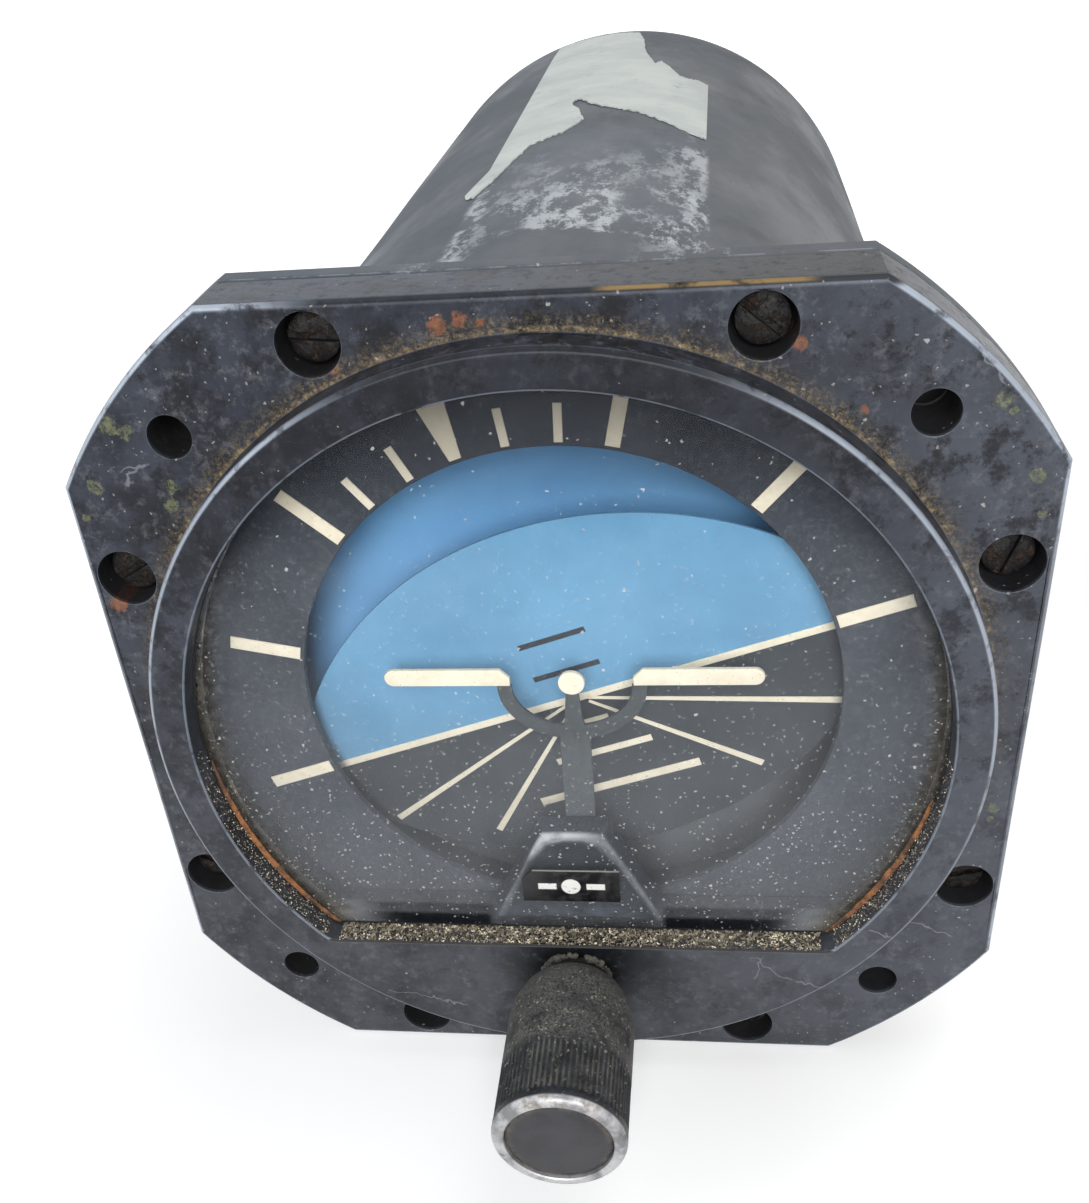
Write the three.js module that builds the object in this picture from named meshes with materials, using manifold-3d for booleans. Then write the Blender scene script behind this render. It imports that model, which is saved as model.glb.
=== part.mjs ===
// Vacuum-driven attitude indicator for a round panel cut-out.
// Millimetres. +Z is up and the dial faces -Y. The origin is the centre of the flange's front face, the plane
// that seats against the back of the panel, on the roll axis.

import * as THREE from 'three'
import { mergeVertices } from 'three/addons/utils/BufferGeometryUtils.js'
import Module from 'manifold-3d'

const wasm = await Module()
wasm.setup()

// Clearances
const stackGap = 0.05
const fitGap = 0.3
const bearingGap = 0.08
const threadGap = 0.12
const cutOverrun = 1

// How finely round forms are divided
const largeSides = 48
const mediumSides = 24
const smallSides = 12
const tinySides = 8
const cornerSteps = 2
const flangeCornerSteps = 6

// Flange and panel fit
const flangeHalfWidth = 42.31
const flangeCornerCut = 15.34
const bezelEdgeBevel = 0.45
const bezelBackMargin = 0.23
const panelHoleInset = 10.88
const panelHoleRadius = 1.95
const ringInset = 3.23
const ringHeight = 3.28
const ringEdgeBevel = 0.45

// Screws that hold the bezel to the case
const bezelScrewNear = 17.98
const bezelScrewEdge = 3.49
const bezelScrewRecessRadius = 2.7
const bezelScrewRecessDepth = 3.6
const bezelScrewHeadRadius = 2.3
const bezelScrewHeadHeight = 1.5
const bezelScrewRadius = 1.4
const bezelScrewShort = 0.15
const bezelScrewTurns = [68, 24, 5, -28, 78, -15, 40, 110]
const screwSlotWidth = 0.7
const screwSlotDepth = 0.6

// Window, its seal, glass and retainer
const ringWall = 3.56
const windowChordRise = 11.31
const windowCorner = 1.6
const windowLip = 2.4
const windowOverlap = 1.2
const sealThickness = 0.6
const glassThickness = 1.5
const retainerThickness = 0.6

// Tape with a plain sign, stuck on the glass
const tapeLeft = 5.3
const tapeRight = 4.8
const tapeTopRise = 7.8
const tapeHeight = 4.2
const tapeThickness = 0.15
const tapeCut = 1.2

// Hood that hides the foot of the miniature airplane
const hoodTopRise = 11
const hoodTopHalf = 3.5
const hoodFlare = 0.5
const hoodDepth = 2.45
const hoodEdge = 0.7

// Gasket and case
const gasketThickness = 0.6
const gasketInset = 0.2
const gasketOverlap = 0.9
const flangeLedge = 1.71
const caseWall = 1.5
const caseLength = 157
const caseFlangeThickness = 2.4
const caseRearWall = 2.5
const caseRearRound = 1.8

// Knob and its shaft
const knobSetback = 4.69
const knobRadius = 6.4
const knobFrontReach = 24.1
const knobRearRadius = 3.5
const knobShoulderLength = 5.8
const knobShoulderShare = [0.45, 0.72]
const knobTeeth = 36
const knobToothDepth = 0.22
const knobFrontBand = 1
const knobKnurlLength = 5.9
const knobRimBevel = 0.5
const knobFaceRadius = 5.15
const knobFaceDepth = 0.75
const knobFaceThickness = 0.5
const knobShaftRadius = 1.5
const knobShaftInset = 4.2
const knobSetScrewRadius = 0.9
const knobSetScrewInset = 0.8
const setScrewSlotWidth = 0.35
const bushingCollarRadius = 3.4
const bushingCollarHeight = 1.1
const bushingRadius = 2.6
const bushingNotches = 4
const bushingNotchWidth = 1.1
const bushingNotchTurn = -35
const pinionTeeth = 12
const pinionPitchRadius = 1.8
const pinionSeatRadius = 1
const toothHeight = 0.3
const toothRootDrop = 0.4
const toothRootShare = 0.58
const toothTipShare = 0.2

// Miniature airplane, its rack and the guide that the rack slides in
const symbolOffset = 0.65
const symbolThickness = 0.4
const wingRise = 3.75
const wingSpanHalf = 18.45
const wingInner = 6
const wingChord = 1.84
const dotRise = 3.1
const dotRadius = 1.3
const bowRise = 2.6
const bowOuterHalf = 7.3
const bowInnerHalf = 5.85
const bowOuterDrop = 6.1
const bowInnerDrop = 4.5
const postHalf = 1.54
const neckTopHalf = 0.53
const neckShoulderHalf = 0.89
const neckShoulderDrop = 1.15
const neckFootDrop = 3.8
const symbolFootHalf = 4
const rackThickness = 0.95
const rackHalfWidth = 5.6
const rackBar = 1.3
const symbolTravelDown = 5.5
const symbolTravelUp = 0.5
const guideThickness = 1.7
const guideRailWidth = 1.4
const guideRailReach = 1.6
const pocketFloorGap = 0.5

// Bank dial and the marks on it
const dialFrontGap = 0.45
const dialRimGap = 1.6
const dialWidth = 10.8
const dialThickness = 0.8
const markRelief = 0.12
const markInset = 0.4
const shortMarkReach = 4
const longMarkReach = 7.5
const shortMarkWidth = 0.8
const longMarkWidth = 1.35
const shortMarkAngles = [-20, -10, 10, 20]
const longMarkAngles = [-90, -60, -30, 30, 60, 90]
const zeroMarkOuterWidth = 3.1
const zeroMarkInnerWidth = 1.15

// Horizon plate and the lines on it
const plateSetback = 2.45
const plateThickness = 0.3
const plateHalfHeight = 20
const plateTipInset = 6
const plateTipHalf = 2.23
const horizonLineWidth = 0.8
const skyBarRises = [3.47, 7.52]
const skyBarHalf = 3.57
const skyBarWidth = 0.58
const groundBarDrops = [3.1, 7.15, 11.74]
const groundBarHalves = [2, 5.3, 9.03]
const groundBarWidths = [0.55, 0.75, 0.95]
const rayEndShares = [[0.566, 0.524], [0.944, 0.333]]
const rayStart = 0.8
const rayStartWidth = 0.3
const rayEndWidth = 0.72

// Sky background behind the plate
const plateTiltRoom = 7.5
const skyThickness = 0.8
const skyRimGap = 6.1

// Roll gimbal
const bankDegrees = 18.3
const frameRimGap = 4.8
const frameSide = 3.3
const frameHalfHeight = 10
const frameFrontBar = 3
const frameFrontBarHalfHeight = 7
const frameRearBar = 4
const frameHoleRadius = 6
const frameHoleReach = 20
const bracketThickness = 1.5
const bracketHalfAngle = 18
const bracketLap = 15.5
const balanceWeightRadius = 5
const balanceWeightLength = 6
const balanceWeightInset = 13

// Roll shaft, its bearings and their housing in the rear wall
const rollShaftRadius = 5
const rollShaftBore = 2.4
const rollShaftFlangeRadius = 7.6
const rollShaftFlange = 2
const rollShaftEndGap = 0.7
const rollBearingRadius = 8
const rollBearingWidth = 5
const hubFrontGap = 0.95
const hubWall = 4.5
const hubFlange = 3.4
const hubFlangeMargin = 5.5
const hubEndWall = 8.25
const hubAirRadius = 3.5
const rearScrewGap = 3.7
const rearScrewCount = 4
const rearScrewHeadRadius = 2.3
const rearScrewHeadHeight = 1.5
const rearScrewRadius = 1.3
const rearScrewShort = 0.35
const rearScrewTurns = [12, -35, 60, 85]

// Air inlet and vacuum port
const inletRadius = 9.5
const inletLength = 9
const inletWall = 1.2
const inletHoles = 6
const inletHoleRadius = 1.1
const inletHoleInset = 4.5
const filterLength = 4.5
const portGap = 0.8
const portHexSides = 6
const portHexRadius = 6.2
const portHexLength = 6
const portSpigotRadius = 4.6
const portSpigotLength = 4.4
const portTubeRadius = 3
const portBarbRadius = 3.9
const portBarbLength = 4.2
const portBarbs = 3
const portTubeLead = 4
const portBore = 2.2

// Pitch axis and the rotor housing
const housingFrontGap = 10.05
const pitchPivotRadius = 2
const pitchPivotEngagement = 3
const pitchBearingRadius = 3.5
const pitchBearingWidth = 2.3
const housingWall = 1.6
const housingHalfHeight = 17
const housingFloor = 1.8
const housingPadHalfWidth = 11
const housingPadHalfHeight = 5.5
const housingPadHeight = 1.1
const housingBossRadius = 4.8
const housingBossHeight = 2.3
const housingBossGap = 0.8
const lidBossRadius = 7
const lidBossHeight = 2.4
const exhaustRadius = 1.2
const exhaustCircle = 4.6
const exhaustCount = 4

// Rotor
const rotorHalfHeight = 9
const rotorRimGap = 0.9
const rotorNotches = 18
const rotorNotchDepth = 1.2
const bucketMouthShare = 0.55
const bucketFloorShare = 0.3
const rotorRecessInner = 6.5
const rotorRimWidth = 6
const rotorRecessDepth = 5
const rotorShaftRadius = 1.5
const rotorShaftCollarRadius = 2.6
const rotorBearingRadius = 4.4
const rotorBearingWidth = 2.4
const rotorBearingSeatWall = 1.9

// Horizon arm, driven by a pin on the rotor housing
const armPivotSetback = 39
const armPivotRadius = 1.2
const armSideGap = 1.1
const armThickness = 1.2
const armHalfHeight = 2
const armTabReach = 2.3
const armTabThickness = 0.8
const armTabHalfHeight = 4
const armLoopRim = 2.2
const armBossRadius = 3
const armTail = 12.5
const armSlotHalf = 1.95
const armSlotRim = 2.2
const drivePinRadius = 0.9
const drivePinReach = 7.9
const drivePinProud = 0.6
const counterweightRadius = 6
const counterweightLength = 14
const counterweightGap = 0.5
const horizonRestDrop = 2.2
const pitchLimitDegrees = 60
const horizonLimitDegrees = 12.3

// Erection unit with its pendulous vanes
const erectionHalf = 6.5
const erectionHeight = 10
const erectionFlangeRadius = 9
const erectionFlange = 1.4
const erectionPortWidth = 2.2
const erectionPortHeight = 3.2
const erectionPortDepth = 1.6
const erectionPortDrop = 5.6
const vaneShaftRadius = 0.5
const vaneShaftDrops = [3.4, 6]
const vaneWidth = 3.4
const vaneLength = 7.5
const vaneThickness = 0.5
const vaneTopRise = 0.7

// Sizes across the face, worked out from the flange inwards
const flangeStraightHalf = flangeHalfWidth - flangeCornerCut
const panelHoleReach = flangeHalfWidth - panelHoleInset
const bezelScrewFar = flangeHalfWidth - bezelScrewEdge
const ringRadius = flangeHalfWidth - ringInset
const windowRadius = ringRadius - ringWall
const windowChordDrop = windowRadius - windowChordRise
const glassRadius = windowRadius + windowOverlap
const glassChordDrop = windowChordDrop + windowOverlap
const recessRadius = glassRadius + fitGap
const recessChordDrop = glassChordDrop + fitGap
const hoodTopDrop = windowChordDrop - hoodTopRise
const tapeTopDrop = windowChordDrop - tapeTopRise
const knobDrop = windowChordDrop + knobSetback
const caseRadius = flangeHalfWidth - flangeLedge
const caseInnerRadius = caseRadius - caseWall
const gasketHoleRadius = caseInnerRadius - gasketOverlap
const dialRadius = caseInnerRadius - dialRimGap
const dialOpeningRadius = dialRadius - dialWidth
const markStart = dialOpeningRadius + markInset
const shortMarkEnd = dialOpeningRadius + shortMarkReach
const longMarkEnd = dialOpeningRadius + longMarkReach
const bracketOuter = dialRadius
const bracketInner = dialRadius - bracketThickness
const plateTipReach = dialRadius - plateTipInset
const skyRadius = caseInnerRadius - skyRimGap
const frameOuterHalf = caseInnerRadius - frameRimGap
const frameInnerHalf = frameOuterHalf - frameSide
const armInner = frameInnerHalf - armSideGap - armThickness
const armOuter = armInner + armThickness
const drivePinTip = armOuter + drivePinProud
const housingBossReach = armInner - housingBossGap
const housingPadReach = housingBossReach - housingBossHeight
const housingRadius = housingPadReach - housingPadHeight
const housingInnerRadius = housingRadius - housingWall
const pitchPivotTip = housingBossReach - pitchPivotEngagement
const rotorRadius = housingInnerRadius - rotorRimGap
const rotorRecessOuter = rotorRadius - rotorRimWidth
const balanceWeightReach = frameInnerHalf - balanceWeightInset
const hubRadius = rollBearingRadius + hubWall
const rearScrewCircle = hubRadius + rearScrewHeadRadius + rearScrewGap
const hubFlangeRadius = rearScrewCircle + hubFlangeMargin
const portDrop = hubFlangeRadius + portGap + portHexRadius
const inletHoleCircle = inletRadius - inletHoleInset

// Depths of the window stack and the airplane's mechanism, from the front of the ring
const ringFront = -ringHeight
const lipBack = ringFront + windowLip
const sealFront = lipBack + stackGap
const glassFront = sealFront + sealThickness + stackGap
const retainerFront = glassFront + glassThickness + stackGap
const hoodFront = retainerFront + retainerThickness + stackGap
const symbolFront = hoodFront + hoodDepth + fitGap
const rackFront = symbolFront + symbolThickness + stackGap
const rackBack = rackFront + rackThickness
const bezelThickness = rackBack + bezelBackMargin
const guideFront = symbolFront - guideThickness - 2 * stackGap
const pocketFront = guideFront - fitGap
const gasketFront = bezelThickness + stackGap
const caseFront = gasketFront + gasketThickness + stackGap
const caseFlangeBack = caseFront + caseFlangeThickness

// Heights of the airplane's rack about the knob's axis
const pinionOuterRadius = pinionPitchRadius + toothHeight
const rackWindowTop = -knobDrop + pinionOuterRadius + fitGap + symbolTravelDown
const rackWindowBottom = -knobDrop - pinionOuterRadius - fitGap - symbolTravelUp
const guideHalfWidth = rackHalfWidth + fitGap + guideRailWidth
const pocketFloor = rackWindowBottom - rackBar - symbolTravelDown - pocketFloorGap

// Depths of the gimbal, from the dial to the rear bearings
const dialDepth = bezelThickness + dialFrontGap
const dialBack = dialDepth + dialThickness
const plateDepth = dialBack + plateSetback
const skyDepth = plateDepth + plateTiltRoom
const frameStart = skyDepth + skyThickness + stackGap
const bracketEnd = frameStart + bracketLap
const pitchAxisDepth = frameStart + frameFrontBar + housingFrontGap + housingRadius
const armPivotDepth = pitchAxisDepth + armPivotSetback
const counterweightSetback = armTail - armHalfHeight
const counterweightRear = counterweightSetback + counterweightRadius + counterweightGap
const frameRearBarStart = armPivotDepth + counterweightRear
const frameEnd = frameRearBarStart + frameRearBar
const hubStart = frameEnd + stackGap + rollShaftFlange + hubFrontGap
const hubFlangeFront = caseLength + stackGap
const hubFlangeBack = hubFlangeFront + hubFlange
const hubBoreEnd = hubFlangeBack - hubEndWall
const rollShaftEnd = hubBoreEnd - rollShaftEndGap
const housingRim = housingHalfHeight - housingFloor - stackGap

// Angles at rest
const degree = Math.PI / 180
const armPivotToPlate = armPivotDepth - plateDepth
const armLimitSine = Math.sin(horizonLimitDegrees * degree)
const armRestAngle = Math.asin(horizonRestDrop / armPivotToPlate)
const horizonRatio = horizonLimitDegrees / pitchLimitDegrees
const pitchRestAngle = -armRestAngle / horizonRatio
const bankAngle = -bankDegrees * degree

// Turn a three.js geometry into a solid, and back

function solidFrom(geometry) {
  const bare = new THREE.BufferGeometry()
  bare.setAttribute('position', geometry.getAttribute('position'))
  if (geometry.index) bare.setIndex(geometry.index)
  const merged = mergeVertices(bare)
  const places = merged.getAttribute('position').array
  const corners = merged.index.array
  const kept = []
  let volume = 0
  const [a, b, c] = [new THREE.Vector3(), new THREE.Vector3(), new THREE.Vector3()]
  for (let i = 0; i < corners.length; i += 3) {
    const [p, q, r] = [corners[i], corners[i + 1], corners[i + 2]]
    if (p === q || q === r || r === p) continue
    kept.push([p, q, r])
    a.fromArray(places, p * 3)
    b.fromArray(places, q * 3)
    c.fromArray(places, r * 3)
    volume += a.dot(b.cross(c))
  }
  const ordered = volume < 0 ? kept.map(([p, q, r]) => [p, r, q]) : kept
  const triVerts = new Uint32Array(ordered.flat())
  const vertProperties = new Float32Array(places)
  return new wasm.Manifold(new wasm.Mesh({ numProp: 3, vertProperties, triVerts }))
}

function geometryFrom(solid) {
  const { vertProperties, triVerts } = solid.getMesh()
  const geometry = new THREE.BufferGeometry()
  geometry.setAttribute('position', new THREE.BufferAttribute(new Float32Array(vertProperties), 3))
  geometry.setIndex(new THREE.BufferAttribute(new Uint32Array(triVerts), 1))
  geometry.computeVertexNormals()
  return geometry
}

function joined(solids) {
  return solids.reduce((whole, next) => whole.add(next))
}

function cut(solid, tools) {
  return tools.reduce((rest, tool) => rest.subtract(tool), solid)
}

// Simple solids along each axis

function rodY(radius, from, to, x = 0, z = 0, sides = smallSides) {
  const geometry = new THREE.CylinderGeometry(radius, radius, to - from, sides)
  geometry.translate(x, (from + to) / 2, z)
  return solidFrom(geometry)
}

function rodX(radius, from, to, y = 0, z = 0, sides = smallSides) {
  const geometry = new THREE.CylinderGeometry(radius, radius, to - from, sides)
  geometry.rotateZ(-Math.PI / 2)
  geometry.translate((from + to) / 2, y, z)
  return solidFrom(geometry)
}

function rodZ(radius, from, to, x = 0, y = 0, sides = smallSides) {
  const geometry = new THREE.CylinderGeometry(radius, radius, to - from, sides)
  geometry.rotateX(Math.PI / 2)
  geometry.translate(x, y, (from + to) / 2)
  return solidFrom(geometry)
}

function block(x, y, z) {
  const geometry = new THREE.BoxGeometry(x[1] - x[0], y[1] - y[0], z[1] - z[0])
  geometry.translate((x[0] + x[1]) / 2, (y[0] + y[1]) / 2, (z[0] + z[1]) / 2)
  return solidFrom(geometry)
}

// A profile of [radius, place] points, turned about Y or Z
function turnedY(profile, sides = largeSides) {
  const points = profile.map(([radius, y]) => new THREE.Vector2(radius, y))
  return solidFrom(new THREE.LatheGeometry(points, sides))
}

function turnedZ(profile, sides = mediumSides) {
  const points = profile.map(([radius, z]) => new THREE.Vector2(radius, z))
  const geometry = new THREE.LatheGeometry(points, sides)
  geometry.rotateX(Math.PI / 2)
  return solidFrom(geometry)
}

function tubeProfile(inner, outer, from, to) {
  return [[inner, from], [outer, from], [outer, to], [inner, to], [inner, from]]
}

// An outline of [x, z] points, given its thickness along Y
function plateY(outline, from, to, bevel = 0) {
  const shape = new THREE.Shape(outline.map(([x, z]) => new THREE.Vector2(x, z)))
  const geometry = new THREE.ExtrudeGeometry(shape, {
    depth: to - from - 2 * bevel,
    bevelEnabled: bevel > 0,
    bevelThickness: bevel,
    bevelSize: bevel,
    bevelOffset: -bevel,
    bevelSegments: 1,
  })
  geometry.rotateX(Math.PI / 2)
  geometry.translate(0, to - bevel, 0)
  return solidFrom(geometry)
}

// An outline of [y, z] points, given its thickness along X
function plateX(outline, from, to) {
  const shape = new THREE.Shape(outline.map(([y, z]) => new THREE.Vector2(y, z)))
  const geometry = new THREE.ExtrudeGeometry(shape, { depth: to - from, bevelEnabled: false })
  geometry.rotateX(Math.PI / 2)
  geometry.rotateZ(Math.PI / 2)
  geometry.translate(from, 0, 0)
  return solidFrom(geometry)
}

// An outline of [x, y] points, given its thickness along Z
function plateZ(outline, from, to) {
  const shape = new THREE.Shape(outline.map(([x, y]) => new THREE.Vector2(x, y)))
  const geometry = new THREE.ExtrudeGeometry(shape, { depth: to - from, bevelEnabled: false })
  geometry.translate(0, 0, from)
  return solidFrom(geometry)
}

// Outlines

function arcPoints(x, z, radius, from, to, steps) {
  const points = []
  for (let i = 0; i <= steps; i++) {
    const angle = from + ((to - from) * i) / steps
    points.push([x + radius * Math.cos(angle), z + radius * Math.sin(angle)])
  }
  return points
}

function rectangle(x, z) {
  return [[x[0], z[0]], [x[1], z[0]], [x[1], z[1]], [x[0], z[1]]]
}

// A square whose corners are cut by one arc about the roll axis
function flangeOutline(inset = 0) {
  const half = flangeHalfWidth - inset
  const straight = flangeStraightHalf
  const radius = Math.hypot(half, straight)
  const start = Math.atan2(straight, half)
  const quarter = Math.PI / 2
  return [0, 1, 2, 3].flatMap((corner) => arcPoints(
    0, 0, radius, corner * quarter + start, (corner + 1) * quarter - start, flangeCornerSteps,
  ))
}

// A circle cut by a level chord below its centre, with rounded corners
function windowOutline(radius, drop, corner) {
  const rise = drop - corner
  const side = Math.sqrt((radius - corner) ** 2 - rise ** 2)
  const dip = Math.atan2(rise, side)
  return [
    ...arcPoints(0, 0, radius, -dip, Math.PI + dip, largeSides),
    ...arcPoints(-side, -rise, corner, Math.PI + dip, 1.5 * Math.PI, cornerSteps).slice(1),
    ...arcPoints(side, -rise, corner, -Math.PI / 2, -dip, cornerSteps).slice(0, -1),
  ]
}

function regularOutline(radius, sides) {
  return arcPoints(0, 0, radius, 0, 2 * Math.PI, sides).slice(0, -1)
}

// A bar of a given width between two points
function barOutline(start, end, startWidth, endWidth = startWidth) {
  const along = Math.atan2(end[1] - start[1], end[0] - start[0])
  const [sx, sz] = [-Math.sin(along) / 2, Math.cos(along) / 2]
  return [
    [start[0] - sx * startWidth, start[1] - sz * startWidth],
    [end[0] - sx * endWidth, end[1] - sz * endWidth],
    [end[0] + sx * endWidth, end[1] + sz * endWidth],
    [start[0] + sx * startWidth, start[1] + sz * startWidth],
  ]
}

// A radius for a faceted bore that clears a round shaft by a given gap
function boreRadius(shaftRadius, gap, sides = smallSides) {
  return (shaftRadius + gap) / Math.cos(Math.PI / sides)
}

// Pieces and their materials

function painted(color, roughness = 0.5, metalness = 0.3) {
  return { color, roughness, metalness }
}

const blackPaint = painted(0x3a3c41, 0.45, 0.3)
const casePaint = painted(0x565a60, 0.5, 0.3)
const screwSteel = painted(0x4a423a, 0.6, 0.7)
const brightSteel = painted(0xa8aab0, 0.3, 0.9)
const brassMetal = painted(0xb08a4a, 0.35, 0.9)
const aluminium = painted(0xb4b6ba, 0.4, 0.85)
const blackRubber = painted(0x1c1c1e, 0.9, 0)
const blackPlastic = painted(0x17181a, 0.4, 0)

function piece(name, solid, look) {
  const mesh = new THREE.Mesh(geometryFrom(solid), new THREE.MeshStandardMaterial(look))
  mesh.name = name
  return mesh
}

function groupOf(pieces) {
  const group = new THREE.Group()
  group.add(...pieces)
  return group
}

// Bezel with its raised ring, window, screw recesses and the pocket for the knob's mechanism

function bezelScrewPlaces() {
  const places = []
  for (const sideways of [-1, 1]) {
    for (const upright of [-1, 1]) {
      places.push([sideways * bezelScrewNear, upright * bezelScrewFar])
      places.push([sideways * bezelScrewFar, upright * bezelScrewNear])
    }
  }
  return places
}

function panelHolePlaces() {
  return [-1, 1].flatMap((x) => [-1, 1].map((z) => [x * panelHoleReach, z * panelHoleReach]))
}

function panelHoleCuts(from, to) {
  return panelHolePlaces().map(([x, z]) => rodY(panelHoleRadius, from, to, x, z, smallSides))
}

function makeBezel() {
  const plate = plateY(flangeOutline(), 0, bezelThickness, bezelEdgeBevel)
  const ring = turnedY([
    [0, ringFront],
    [ringRadius - ringEdgeBevel, ringFront],
    [ringRadius, ringFront + ringEdgeBevel],
    [ringRadius, bezelEdgeBevel],
    [0, bezelEdgeBevel],
  ])
  const back = bezelThickness + cutOverrun
  const front = ringFront - cutOverrun
  const window = plateY(windowOutline(windowRadius, windowChordDrop, windowCorner), front, back)
  const recess = plateY(windowOutline(recessRadius, recessChordDrop, windowCorner), lipBack, back)
  const recesses = bezelScrewPlaces().flatMap(([x, z]) => [
    rodY(bezelScrewRecessRadius, -cutOverrun, bezelScrewRecessDepth, x, z),
    rodY(bezelScrewRadius + fitGap, -cutOverrun, back, x, z, tinySides),
  ])
  const bushingBore = rodY(boreRadius(bushingRadius, stackGap), front, back, 0, -knobDrop)
  const pocket = block(
    [-guideHalfWidth - fitGap, guideHalfWidth + fitGap],
    [pocketFront, back],
    [pocketFloor, -windowChordDrop],
  )
  return cut(joined([plate, ring]), [
    window,
    recess,
    ...recesses,
    ...panelHoleCuts(-cutOverrun, back),
    bushingBore,
    pocket,
  ])
}

function makeGasket() {
  const sheet = plateY(flangeOutline(gasketInset), gasketFront, gasketFront + gasketThickness)
  const from = gasketFront - cutOverrun
  const to = caseFront + cutOverrun
  const screwHoles = bezelScrewPlaces().map(([x, z]) => rodY(
    bezelScrewRadius + fitGap,
    from,
    to,
    x,
    z,
    tinySides,
  ))
  return cut(sheet, [
    rodY(gasketHoleRadius, from, to, 0, 0, largeSides),
    ...screwHoles,
    ...panelHoleCuts(from, to),
  ])
}

// A slotted screw along +Y, with its head's front face at y = 0
function slottedScrew(headRadius, headHeight, radius, grip) {
  const head = turnedY([
    [0, 0],
    [headRadius - screwSlotDepth / 2, 0],
    [headRadius, screwSlotDepth / 2],
    [headRadius, headHeight],
    [0, headHeight],
  ], smallSides)
  const shank = rodY(radius, headHeight - stackGap, headHeight + grip, 0, 0, tinySides)
  const slot = block(
    [-headRadius - cutOverrun, headRadius + cutOverrun],
    [-cutOverrun, screwSlotDepth],
    [-screwSlotWidth / 2, screwSlotWidth / 2],
  )
  return cut(joined([head, shank]), [slot])
}

function makeBezelScrews() {
  const grip = caseFlangeBack - bezelScrewRecessDepth + stackGap - bezelScrewShort
  const solid = slottedScrew(bezelScrewHeadRadius, bezelScrewHeadHeight, bezelScrewRadius, grip)
  const headFront = bezelScrewRecessDepth - stackGap - bezelScrewHeadHeight
  return bezelScrewPlaces().map(([x, z], index) => {
    const screw = piece(`bezel_screw_${index + 1}`, solid, screwSteel)
    screw.position.set(x, headFront, z)
    screw.rotation.y = bezelScrewTurns[index] * degree
    return screw
  })
}

// Window stack: seal, glass, retainer, tape and hood

function windowFrame(from, to) {
  const outside = plateY(windowOutline(glassRadius, glassChordDrop, windowCorner), from, to)
  const inside = plateY(
    windowOutline(windowRadius, windowChordDrop, windowCorner),
    from - cutOverrun,
    to + cutOverrun,
  )
  return cut(outside, [inside])
}

function makeGlass() {
  return plateY(
    windowOutline(glassRadius, glassChordDrop, windowCorner),
    glassFront,
    glassFront + glassThickness,
  )
}

// A spring ring: the window frame without its level stretch
function makeRetainer() {
  const back = retainerFront + retainerThickness
  const opening = block(
    [-glassRadius, glassRadius],
    [retainerFront - cutOverrun, back + cutOverrun],
    [-glassRadius, -windowChordDrop + windowCorner],
  )
  return cut(windowFrame(retainerFront, back), [opening])
}

function makeTape() {
  const bottomDrop = tapeTopDrop + tapeHeight
  const outline = [
    [-tapeLeft, -bottomDrop],
    [tapeRight, -bottomDrop],
    [tapeRight, -tapeTopDrop],
    [-tapeLeft + tapeCut, -tapeTopDrop],
    [-tapeLeft, -tapeTopDrop - tapeCut],
  ]
  const back = glassFront - stackGap
  return plateY(outline, back - tapeThickness, back)
}

function makeHood() {
  const footDrop = recessChordDrop - fitGap
  const footHalf = hoodTopHalf + (footDrop - hoodTopDrop) * hoodFlare
  const outline = [
    [-footHalf, -footDrop],
    [footHalf, -footDrop],
    [hoodTopHalf, -hoodTopDrop],
    [-hoodTopHalf, -hoodTopDrop],
  ]
  return plateY(outline, hoodFront, hoodFront + hoodDepth, hoodEdge)
}

// Case

function makeCase() {
  const rearInside = caseLength - caseRearWall
  const hubHole = hubRadius + fitGap
  const shell = turnedY([
    [caseInnerRadius, caseFront],
    [caseRadius, caseFront],
    ...arcPoints(
      caseRadius - caseRearRound,
      caseLength - caseRearRound,
      caseRearRound,
      0,
      Math.PI / 2,
      cornerSteps,
    ),
    [hubHole, caseLength],
    [hubHole, rearInside],
    [caseInnerRadius, rearInside],
    [caseInnerRadius, caseFront],
  ])
  const bore = rodY(caseInnerRadius, caseFront - cutOverrun, caseFlangeBack + cutOverrun, 0, 0, largeSides)
  const flange = cut(plateY(flangeOutline(), caseFront, caseFlangeBack), [bore])
  const screwHoles = bezelScrewPlaces().map(([x, z]) => rodY(
    bezelScrewRadius + threadGap,
    caseFront - cutOverrun,
    caseFlangeBack + cutOverrun,
    x,
    z,
    tinySides,
  ))
  const rearHoles = rearScrewPlaces().map(([x, z]) => rodY(
    rearScrewRadius + threadGap,
    rearInside - cutOverrun,
    caseLength + cutOverrun,
    x,
    z,
    tinySides,
  ))
  const portHole = rodY(
    portSpigotRadius + threadGap,
    rearInside - cutOverrun,
    caseLength + cutOverrun,
    0,
    -portDrop,
  )
  return cut(joined([shell, flange]), [
    ...screwHoles,
    ...panelHoleCuts(caseFront - cutOverrun, caseFlangeBack + cutOverrun),
    ...rearHoles,
    portHole,
  ])
}

// Bearing housing in the rear wall, with its screws, air inlet and vacuum port

function rearScrewPlaces() {
  return Array.from({ length: rearScrewCount }, (_, index) => {
    const angle = (2 * Math.PI * (index + 0.5)) / rearScrewCount
    return [rearScrewCircle * Math.cos(angle), rearScrewCircle * Math.sin(angle)]
  })
}

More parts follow.
